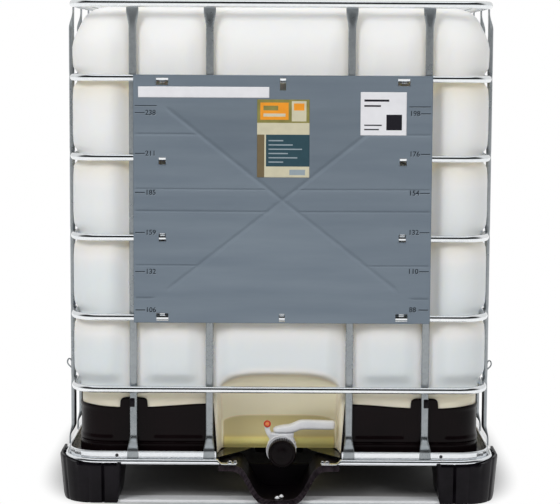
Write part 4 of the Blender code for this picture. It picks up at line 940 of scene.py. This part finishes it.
front_across, front_side = both_edges(FRONT_POSTS)
side_across, side_side = both_edges(SIDE_POSTS)
beads_x = np.concatenate([front_across, side_side * BEAD_WALL_X])
beads_y = np.concatenate([front_side * BEAD_WALL_Y, side_across])
polar = np.linspace(0, math.pi, 9)[:, None]
angle = full_turn(12)
bead = np.stack([BEAD_RADIUS * np.sin(polar) * np.cos(angle), BEAD_RADIUS * np.sin(polar) * np.sin(angle),
                 BEAD_HALF_LENGTH * np.cos(polar) + 0 * angle], -1)
vertices, faces = skin(bead[1:-1])
faces = np.array([list(face) + [face[-1]] * (4 - len(face)) for face in faces])
spots = np.stack([np.repeat(beads_x, len(RINGS)), np.repeat(beads_y, len(RINGS)),
                  np.tile(RINGS, len(beads_x))], -1)
every = (vertices[None] + spots[:, None]).reshape(-1, 3)
links = (faces[None] + np.arange(len(spots))[:, None, None] * len(vertices)).reshape(-1, 4).tolist()
links = [tuple(dict.fromkeys(face)) for face in links]
piece("weld_beads", (every, links), shaded_steel)


def bent_bar(centre, flat, half_side, half_flat, around, squareness=1.0):
    """Section carried along a line that bends in one plane; flat is the plane's normal.

    The section's axes are step x flat and flat, where step is the unit step along the line.
    """
    step = np.gradient(centre, axis=0)
    step /= np.linalg.norm(step, axis=1)[:, None]
    return superellipse(centre, np.cross(step, flat), flat, half_side, half_flat, around, squareness)


for side in (-1, 1):
    line = spline([(0.4852, 0.2790), (0.4885, 0.2830), (0.4925, 0.2870), (0.4948, 0.2925), (0.4935, 0.2985),
                   (0.4900, 0.3010), (0.4868, 0.2985), (0.4852, 0.2940)], 60)
    centre = np.stack([side * line[:, 0], 0 * line[:, 0] + SIDE_POSTS[0], line[:, 1]], -1)
    rows = bent_bar(centre, (0.0, 1.0, 0.0), 0.0016, 0.0016, 12)
    piece(f"side_hook_{'left' if side < 0 else 'right'}", skin(rows), shaded_steel)

BAR_HALF_DEPTH = 0.0060
BAR_HALF_SHEET = 0.00135
BAR_END_HEIGHT = 1.13165
BAR_FLAT_START = 0.4330
for name in ("crossbar_front", "crossbar_back"):
    low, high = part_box(name)
    middle_y = (low.y + high.y) / 2
    along = np.unique(np.concatenate([np.linspace(high.x, 0.40, 60), np.linspace(0.40, 0.0, 20)]))
    along = np.concatenate([-along[::-1], along[1:]])
    flat = smooth((np.abs(along) - BAR_FLAT_START) / 0.020)
    half_up = BAR_HALF_DEPTH * (1 - flat) + BAR_HALF_SHEET * flat
    centre = np.stack([along, 0 * along + middle_y, (high.z - BAR_HALF_DEPTH) * (1 - flat)
                       + BAR_END_HEIGHT * flat], -1)
    half_side = 0.0120 * (1 - flat) + 0.0144 * flat
    rows = superellipse(centre, np.array([0.0, 1.0, 0.0]), up, half_side, half_up, 24, 0.85)
    piece(name + "_tube", skin(rows), shaded_steel, [name])


# Label plate: thin zinc-coated sheet with a low pyramid pressed into it, slotted at each bar and
# hooked over the bars by tongues.

def plate_finish():
    """Satin blue-grey sheet: long level streaks of slightly different tone and a fine rolled grain."""
    finish, tree, shader, place = material("plate_sheet")
    streaks = node(tree, "ShaderNodeMapping", {"Vector": place, "Scale": (1.6, 1.0, 14.0)}).outputs["Vector"]
    tones = ramp(tree, noise(tree, streaks, 2.2, 4.0), [(0.3, (0.172, 0.214, 0.262)),
                                                        (0.7, (0.206, 0.252, 0.300))])
    feed(tree, shader, {"Base Color": tones, "Metallic": 0.40, "Roughness": 0.36,
                        "Normal": roughened(tree, place, 900.0, 1.0, 0.06)})
    return finish


PLATE_X = 0.005
PLATE_HALF = 0.332
PLATE_LOW = 0.410
PLATE_HIGH = 0.964
PLATE_FACE = -0.5763
PLATE_SHEET = 0.0018
PEAK_HALF_X = 0.262
PEAK_HALF_Z = 0.207
PEAK = 0.0095
FOLD_LINES = np.array((0.8324, 0.7104, 0.6609, 0.5394, 0.4651))
SLOTS = [(x - w / 2, x + w / 2, low, high) for x, w, low, high in (
    (-0.263, 0.027, 0.9415, 0.958), (0.005, 0.013, 0.931, 0.959), (0.273, 0.027, 0.9415, 0.958),
    (-0.263, 0.0155, 0.7650, 0.7815), (0.273, 0.0155, 0.7650, 0.7815),
    (-0.263, 0.0155, 0.5935, 0.6110), (0.273, 0.0155, 0.5935, 0.6110),
    (-0.263, 0.027, 0.4145, 0.4315), (0.005, 0.013, 0.4130, 0.4310), (0.273, 0.027, 0.4145, 0.4315))]


def plate_relief(x, z):
    """How far the pressed sheet stands out: a pyramid, a bead along its diagonals, and level folds.

    The pyramid is peak * (1 - max(|u|, |v|)) in the panel's own half widths u and v.
    """
    u = np.abs(x - PLATE_X) / PEAK_HALF_X
    v = np.abs(z - (PLATE_LOW + PLATE_HIGH) / 2) / PEAK_HALF_Z
    out = np.maximum(u, v)
    inside = 1 - out
    raised = PEAK * 0.5 * (inside + np.sqrt(inside ** 2 + 0.0006))
    apart = np.abs(u - v) * PEAK_HALF_X * PEAK_HALF_Z / math.hypot(PEAK_HALF_X, PEAK_HALF_Z)
    bead = 0.0011 * np.clip(1 - (apart / 0.0050) ** 2, 0, 1) ** 2 * smooth(inside / 0.05)
    from_line = np.abs(z[..., None] - FOLD_LINES).min(-1)
    fold = 0.0009 * np.clip(1 - (from_line / 0.0032) ** 2, 0, 1) ** 2 * smooth((u - v) / 0.06)
    return raised + bead + fold * (np.abs(x - PLATE_X) < PLATE_HALF - 0.006)


def grid_lines(low, high, spacing, marks=()):
    """Even grid lines with the marks added and near doubles left out."""
    even = np.linspace(low, high, int((high - low) / spacing) + 1)
    lines = np.unique(np.round(np.concatenate([even, marks]), 5))
    return lines[np.diff(lines, prepend=-np.inf) > 0.0002]


def sheet_piece(name, xs, zs, stand_off, thickness, finishes, kinds=None, replaced=()):
    """Pressed sheet over a grid of x and z that follows the relief; kind -1 leaves the cell open."""
    x, z = np.meshgrid(xs, zs)
    y = PLATE_FACE - plate_relief(x, z) - stand_off
    if kinds is None:
        kinds = np.zeros((len(zs) - 1, len(xs) - 1), int)
    index = np.arange(x.size).reshape(x.shape)
    quads = np.stack([index[:-1, :-1], index[:-1, 1:], index[1:, 1:], index[1:, :-1]], -1)
    kept = kinds >= 0
    used, faces = np.unique(quads[kept], return_inverse=True)
    vertices = np.stack([x, y, z], -1).reshape(-1, 3)[used]
    made = add_mesh(name, vertices, faces.reshape(-1, 4).tolist())
    made.data.shade_smooth()
    for finish in finishes:
        made.data.materials.append(finish)
    made.data.polygons.foreach_set("material_index", kinds[kept].astype(np.int32))
    solid = made.modifiers.new("sheet", "SOLIDIFY")
    solid.thickness = thickness
    solid.offset = -1.0
    return hang(made, replaced)


plate_paint = plate_finish()
marks_x = np.array([edge for slot_box in SLOTS for edge in slot_box[:2]])
marks_z = np.concatenate([[edge for slot_box in SLOTS for edge in slot_box[2:]],
                          (FOLD_LINES[:, None] + (-0.0032, -0.0016, 0, 0.0016, 0.0032)).ravel()])
xs = grid_lines(PLATE_X - PLATE_HALF, PLATE_X + PLATE_HALF, 0.0034, marks_x)
zs = grid_lines(PLATE_LOW, PLATE_HIGH, 0.0034, marks_z)
mid_x, mid_z = np.meshgrid((xs[1:] + xs[:-1]) / 2, (zs[1:] + zs[:-1]) / 2)
kinds = np.zeros(mid_x.shape, int)
for x0, x1, z0, z1 in SLOTS:
    kinds[(mid_x > x0) & (mid_x < x1) & (mid_z > z0) & (mid_z < z1)] = -1
sheet_piece("label_plate_sheet", xs, zs, 0.0, PLATE_SHEET, [plate_paint], kinds, ["label_plate"])

for number, (x0, x1, z0, z1) in enumerate(SLOTS, start=1):
    ring_height = float(RINGS[np.argmin(np.abs(RINGS - (z0 + z1) / 2 - 0.004))])
    side = -1 if ring_height > 0.9 else 1
    edge = ring_height + side * 0.0093
    line = np.array([(PLATE_FACE + 0.0012, edge), (-0.5625, edge), (-0.5585, edge - side * 0.0006),
                     (-0.5570, edge - side * 0.0030), (-0.5568, edge - side * 0.0120)])
    line = spline(line, 20)
    half = min(0.0060, (x1 - x0) / 2 - 0.0005)
    centre = np.stack([0 * line[:, 0] + (x0 + x1) / 2, line[:, 0], line[:, 1]], -1)
    rows = bent_bar(centre, (1.0, 0.0, 0.0), 0.0007, half, 12, 0.4)
    piece(f"plate_tongue_{number}", skin(rows), bright_zinc)


# Marks on the plate: a scale down each side, pressed lines with plain numbers and a painted highlight along
# their edges, a blank writing strip, a printed label with colour fields only, and a plain white sticker.

def plain_finish(name, colour, roughness, patches=0.04):
    """Printed film or paint: the colour with faint soft patches."""
    dark = tuple(c * (1 - patches) for c in colour)
    light = tuple(min(1.0, c * (1 + patches)) for c in colour)
    return moulded(name, dark, light, 55.0, roughness, 0.03)


ink = plain_finish("pressed_ink", (0.030, 0.040, 0.052), 0.5)
edge_highlight_finish = plain_finish("painted_edge_highlight", (0.36, 0.42, 0.48), 0.45)
white_film = plain_finish("white_film", (0.80, 0.80, 0.83), 0.35, 0.02)
line_rows = {-1: (0.8799, 0.7896, 0.7025, 0.6130, 0.5252, 0.4386),
             1: (0.8805, 0.7907, 0.7037, 0.6157, 0.5281, 0.4415)}
numbers = {-1: ("238", "211", "185", "159", "132", "106"), 1: ("198", "176", "154", "132", "110", "88")}


def pressed_mark(name, x, z, proud, faces, finish):
    """Flat outlines laid on the pressed sheet: every corner stands proud of the relief below it."""
    y = PLATE_FACE - plate_relief(x, z) - proud
    made = add_mesh(name, np.stack([x, y, z], -1), faces)
    made.data.materials.append(finish)
    hang(made)


bars = []
for side, rows_z in line_rows.items():
    x0, x1 = ((-0.3233, -0.3016), (0.3115, 0.3330))[side > 0]
    bars += [(x0, x1, level - 0.0010, level + 0.0010) for level in rows_z]
    x0, x1 = ((-0.3233, -0.2745), (0.2850, 0.3330))[side > 0]
    bars.append((x0, x1, 0.8948, 0.8966))
bars = np.array(bars)
bar_x = np.concatenate([bars[:, 0], bars[:, 1], bars[:, 1], bars[:, 0]] * 2)
bar_z = np.concatenate([bars[:, 2], bars[:, 2], bars[:, 3], bars[:, 3]] * 2)
bar_proud = np.repeat((0.0009, -0.0004), 4 * len(bars))
each = np.arange(len(bars))[:, None]
box_faces = ((0, 1, 2, 3), (4, 7, 6, 5), (0, 4, 5, 1), (1, 5, 6, 2), (2, 6, 7, 3), (3, 7, 4, 0))
bar_faces = [tuple(face) for corners in box_faces for face in (each + len(bars) * np.array(corners)).tolist()]

number_x, number_z, number_proud, number_faces = [], [], [], []
for side, rows_z in line_rows.items():
    for level, word in zip(rows_z, numbers[side]):
        letters = bpy.data.curves.new("scale_number", "FONT")
        letters.body = word
        letters.size = 0.0158
        letters.offset = 0.00025
        letters.extrude = 0.0005
        letters.resolution_u = 3
        letters.align_x = "CENTER"
        letters.align_y = "CENTER"
        holder = bpy.data.objects.new("scale_number", letters)
        flat = holder.to_mesh()
        corners = np.zeros(len(flat.vertices) * 3)
        flat.vertices.foreach_get("co", corners)
        corners = corners.reshape(-1, 3)
        base = sum(len(part) for part in number_x)
        number_x.append(corners[:, 0] + (-0.2885 if side < 0 else 0.2980))
        number_z.append(corners[:, 1] + level)
        number_proud.append(corners[:, 2] + 0.0004)
        number_faces += [tuple(base + corner for corner in face.vertices) for face in flat.polygons]
        holder.to_mesh_clear()
        bpy.data.objects.remove(holder)
number_x, number_z, number_proud = (np.concatenate(part) for part in (number_x, number_z, number_proud))
# The second copy of the lines and numbers, lighter, shifted down and set back, is a painted highlight along
# each stroke's edge.
for name, shift, finish in (("scale", 0.0, ink), ("scale_painted_highlight", 0.0009, edge_highlight_finish)):
    pressed_mark(name + "_lines", bar_x + shift * 0.3, bar_z - shift, bar_proud - shift * 0.4, bar_faces,
                 finish)
    pressed_mark(name + "_numbers", number_x + shift * 0.7, number_z - shift, number_proud - shift * 0.4,
                 number_faces, finish)


def printed(name, x0, x1, z0, z1, finishes, blocks):
    """A film whose cells take the last block (left, low, right, high in shares of it) that holds them."""
    width, tall = x1 - x0, z1 - z0
    marks_x = [x0 + width * b[i] for b in blocks for i in (0, 2)] + [x0 + 0.002, x1 - 0.002]
    marks_z = [z0 + tall * b[i] for b in blocks for i in (1, 3)] + [z0 + 0.002, z1 - 0.002]
    xs, zs = grid_lines(x0, x1, 0.006, marks_x), grid_lines(z0, z1, 0.006, marks_z)
    mid_x, mid_z = np.meshgrid((xs[1:] + xs[:-1]) / 2, (zs[1:] + zs[:-1]) / 2)
    u, v = (mid_x - x0) / width, (mid_z - z0) / tall
    kinds = np.zeros(u.shape, int)
    for left, low, right, high, kind in blocks:
        kinds[(u > left) & (u < right) & (v > low) & (v < high)] = kind
    sheet_piece(name, xs, zs, 0.0006, 0.0004, finishes, kinds)


printed("writing_strip", -0.3160, -0.0255, 0.9140, 0.9381, [white_film], [])
label_finishes = [plain_finish("label_" + tone, colour, 0.4, patches) for tone, colour, patches in (
    ("cream", (0.62, 0.58, 0.42), 0.04), ("orange", (0.86, 0.32, 0.02), 0.04),
    ("olive", (0.24, 0.22, 0.06), 0.15), ("brown", (0.16, 0.12, 0.06), 0.04),
    ("teal", (0.035, 0.075, 0.095), 0.04), ("rule", (0.30, 0.36, 0.40), 0.04))]
label_blocks = [(0.0, 0.70, 1.0, 1.0, 2), (0.06, 0.74, 0.60, 0.96, 1), (0.66, 0.72, 0.94, 0.98, 0),
                (0.70, 0.86, 0.90, 0.95, 1), (0.06, 0.55, 0.94, 0.68, 0), (0.0, 0.0, 0.14, 0.55, 3),
                (0.17, 0.14, 1.0, 0.55, 4), (0.17, 0.0, 1.0, 0.13, 0), (0.62, 0.03, 0.92, 0.10, 5)]
label_blocks += [(0.22, 0.19 + 0.055 * k, 0.50 + 0.09 * ((k * 3) % 5), 0.205 + 0.055 * k, 5) for k in range(6)]
label_blocks += [(0.12, 0.78, 0.54, 0.82, 0), (0.12, 0.86, 0.40, 0.92, 2)]
printed("content_label", -0.0521, 0.0641, 0.7383, 0.9107, label_finishes, label_blocks)
sticker_ink = plain_finish("sticker_ink", (0.016, 0.015, 0.020), 0.4)
printed("white_sticker", 0.1770, 0.2792, 0.8324, 0.9280, [white_film, sticker_ink],
        [(0.08, 0.78, 0.62, 0.83, 1), (0.08, 0.66, 0.44, 0.70, 1), (0.56, 0.12, 0.90, 0.48, 1),
         (0.08, 0.12, 0.40, 0.15, 1), (0.08, 0.22, 0.46, 0.25, 1)])


# Valve: a white moulded butterfly valve clamped to the bottle's spigot by a ribbed nut.  Its lever
# turns the stem and the disc, a red pull ring locks it, and a black ribbed cap closes the outlet.

AXIS_X = 0.007
AXIS_Z = 0.107
FORWARD = np.array([0.0, -1.0, 0.0])
STEM_Y = -0.505
BOSS_SQUARENESS = 0.62
WALL = np.array([AXIS_X, -NICHE_BACK, AXIS_Z])
white_plastic = moulded("white_moulding", (0.68, 0.69, 0.72), (0.78, 0.79, 0.82), 30.0, 0.33, 0.1)
red_plastic = moulded("red_moulding", (0.50, 0.030, 0.012), (0.66, 0.055, 0.02), 60.0, 0.35, 0.1)
rubber = moulded("black_rubber", (0.012, 0.012, 0.012), (0.03, 0.03, 0.03), 40.0, 0.75)
black_cap = moulded("cap_moulding", (0.0025, 0.0014, 0.0018), (0.0060, 0.0036, 0.0042), 60.0, 0.30, 0.1)
nut_low, nut_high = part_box("valve_nut")
NUT_RADIUS = 0.0326
start_d, end_d = WALL[1] - nut_high.y, WALL[1] - nut_low.y
profile = [(0.0292, start_d), (NUT_RADIUS - 0.001, start_d), (NUT_RADIUS, start_d + 0.001, 1),
           (NUT_RADIUS, end_d - 0.0014, 1), (NUT_RADIUS - 0.0012, end_d, 0.4), (0.0298, end_d),
           (0.0292, end_d - 0.0006)]
piece("valve_nut_ring", skin(turned(profile, WALL, FORWARD, 288, 24, 0.0016, 0.6), closed=True), white_plastic,
      ["valve_nut"])

handle_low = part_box("valve_handle")[0].z
boss_top = handle_low - 0.0003
profile = [(0.0290, 0.0186), (0.0290, 0.0740), (0.0272, 0.0742)]
for ridge_number in range(3):
    low = 0.0760 + 0.0062 * ridge_number
    profile += [(0.0268, low), (0.0279, low + 0.0014), (0.0279, low + 0.0024), (0.0268, low + 0.0042)]
profile += [(0.0275, 0.0965), (0.0268, 0.0980), (0.0255, 0.0980), (0.0250, 0.0974), (0.0250, 0.0186)]
piece("valve_tube", skin(turned(profile, WALL, FORWARD, 128), closed=True), white_plastic,
      ["valve_body"])

collar = [(0.0288, 0.0665), (0.0325, 0.0672), (0.0340, 0.0682), (0.0345, 0.0695), (0.0345, 0.0722),
          (0.0341, 0.0734), (0.0332, 0.0740), (0.0318, 0.0736), (0.0312, 0.0728), (0.0288, 0.0728)]
COLLAR_SHIFT = np.array([-0.0019, 0.0, 0.0019])
piece("valve_collar", skin(turned(collar, WALL + COLLAR_SHIFT, FORWARD, 128), closed=True), white_plastic)

bend = np.linspace(0, math.pi / 2, 8)[1:]
levels = np.concatenate([np.linspace(AXIS_Z + 0.006, boss_top - 0.004, 24),
                         boss_top - 0.004 * (1 - np.sin(bend))])
shrink = np.concatenate([np.zeros(24), 0.0028 * (1 - np.cos(bend))])
waist = 0.0022 * np.sin(np.pi * np.clip((levels - 0.128) / (boss_top - 0.128), 0, 1))
angle = full_turn(160)
flutes = 0.0009 * np.clip(np.cos(28 * angle), 0, 1) ** 0.7
wide = (0.0285 - shrink - waist)[:, None] - flutes[None]
deep_half = (0.0158 - shrink - waist * 0.5)[:, None] - flutes[None]
boss_x = AXIS_X + wide * signed_power(np.cos(angle), BOSS_SQUARENESS)
boss_y = STEM_Y + deep_half * signed_power(np.sin(angle), BOSS_SQUARENESS)
rows = np.stack([boss_x, boss_y, levels[:, None] + 0 * boss_x], -1)
piece("valve_boss", skin(rows), white_plastic)

pin_low, pin_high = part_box("locking_pin")
PIN_X = (pin_low.x + pin_high.x) / 2
PIN_Z = (pin_low.z + pin_high.z) / 2
line = spline([(AXIS_X - 0.024, boss_top - 0.012), (AXIS_X - 0.029, boss_top - 0.004),
               (PIN_X + 0.0005, boss_top + 0.006), (PIN_X, PIN_Z - 0.002), (PIN_X, PIN_Z + 0.0055)], 30)
centre = np.stack([line[:, 0], 0 * line[:, 0] + STEM_Y, line[:, 1]], -1)
width = 0.0058 * (1 - 0.35 * smooth((np.arange(30) - 25) / 5))
rows = bent_bar(centre, FORWARD, width, 0.0029, 24, 0.7)
piece("valve_ear", skin(rows), white_plastic)

angle = full_turn(64)
outward = np.stack([np.cos(angle), 0 * angle, np.sin(angle)], -1)
ring_y = pin_low.y + 0.0018
points = np.array([PIN_X, ring_y, PIN_Z]) + 0.0065 * outward
rows = superellipse(points, outward, np.array([0.0, 1.0, 0.0]), 0.0018, 0.0018, 16)
piece("pin_ring", skin(rows, closed=True), red_plastic, ["locking_pin"], body="pin")
profile = [(0.0017, -0.0135), (0.0018, -0.0125), (0.0018, -0.0022), (0.0040, -0.0012), (0.0044, 0.0006),
           (0.0030, 0.0014)]
orange_pin = moulded("orange_moulding", (0.80, 0.22, 0.06), (0.90, 0.30, 0.10), 60.0, 0.35, 0.1)
piece("pin_shank", skin(turned(profile, (PIN_X, ring_y, PIN_Z), FORWARD, 32)), orange_pin,
      body="pin")

stations = np.array([(-0.0205, 0.0062, 0.0085, 0.0060), (-0.0190, 0.0030, 0.0108, 0.0100),
                     (-0.0130, 0.0006, 0.0136, 0.0140), (0.0, 0.0, 0.0166, 0.0163),
                     (0.0150, 0.0, 0.0186, 0.0163), (0.0250, 0.0006, 0.0222, 0.0152),
                     (0.0340, 0.0034, 0.0264, 0.0138), (0.0420, 0.0066, 0.0290, 0.0124),
                     (0.0560, 0.0076, 0.0298, 0.0112), (0.0800, 0.0074, 0.0293, 0.0108),
                     (0.1080, 0.0072, 0.0287, 0.0102), (0.1165, 0.0080, 0.0280, 0.0094),
                     (0.1205, 0.0105, 0.0258, 0.0072), (0.1215, 0.0150, 0.0215, 0.0035)])
smoothed = spline(stations, 160)
centre = np.stack([AXIS_X + smoothed[:, 0], 0 * smoothed[:, 0] + STEM_Y,
                   handle_low + (smoothed[:, 1] + smoothed[:, 2]) / 2], -1)
rows = superellipse(centre, np.array([0.0, 1.0, 0.0]), up, smoothed[:, 3],
                    (smoothed[:, 2] - smoothed[:, 1]) / 2, 36, 0.62)
piece("valve_lever_arm", skin(rows), white_plastic, ["valve_handle"], body="valve_lever")
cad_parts["valve_disc"].material_slots[0].material = white_plastic
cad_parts["valve_stem"].material_slots[0].material = shaded_steel
for name in ("valve_gasket", "cap_seal", "lid_gasket"):
    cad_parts[name].material_slots[0].material = rubber

cap_low, cap_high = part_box("outlet_cap")
cap_back, cap_front = WALL[1] - cap_high.y, WALL[1] - cap_low.y
profile = [(0.0010, cap_front - 0.0036), (0.0283, cap_front - 0.0039), (0.0283, cap_back), (0.0306, cap_back),
           (0.0312, cap_back + 0.0008, 1), (0.0312, cap_front - 0.0036, 1), (0.0302, cap_front - 0.0010, 0.4),
           (0.0284, cap_front), (0.0262, cap_front), (0.0250, cap_front - 0.0010), (0.0244, cap_front - 0.0022),
           (0.0120, cap_front - 0.0024), (0.0105, cap_front - 0.0018), (0.0010, cap_front - 0.0017)]
piece("outlet_cap_shell", skin(turned(profile, WALL, FORWARD, 288, 36, 0.0007, 0.8)), black_cap,
      ["outlet_cap"], body="cap")


# Lid: a black moulded screw lid with ten grip lugs, a dished top with a raised ring and a small vent
# plug in the middle.  It sits in the sunken deck of the bottle.

lid_low, lid_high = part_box("fill_lid")
lid_black = moulded("lid_moulding", (0.010, 0.010, 0.011), (0.024, 0.024, 0.026), 30.0, 0.40)
low, top = lid_low.z, lid_high.z
under_plate = top - 0.0070
profile = [(0.0010, under_plate), (0.0835, under_plate), (0.0835, low), (0.0890, low), (0.0898, low + 0.001, 1),
           (0.0898, top - 0.0042, 1), (0.0888, top - 0.0018, 0.8), (0.0862, top - 0.0002, 0.3), (0.0840, top),
           (0.0800, top), (0.0790, top - 0.0010), (0.0782, top - 0.0022), (0.0640, top - 0.0026),
           (0.0628, top - 0.0014), (0.0615, top - 0.0004), (0.0590, top - 0.0004), (0.0578, top - 0.0014),
           (0.0566, top - 0.0030), (0.0300, top - 0.0034), (0.0292, top - 0.0012), (0.0284, top - 0.0004),
           (0.0200, top - 0.0004), (0.0190, top - 0.0012), (0.0180, top - 0.0026), (0.0010, top - 0.0028)]
piece("fill_lid_shell", skin(turned(profile, (0, 0, 0), (0, 0, 1), 360, 10, 0.0030, 0.35)), lid_black,
      ["fill_lid"], body="lid")
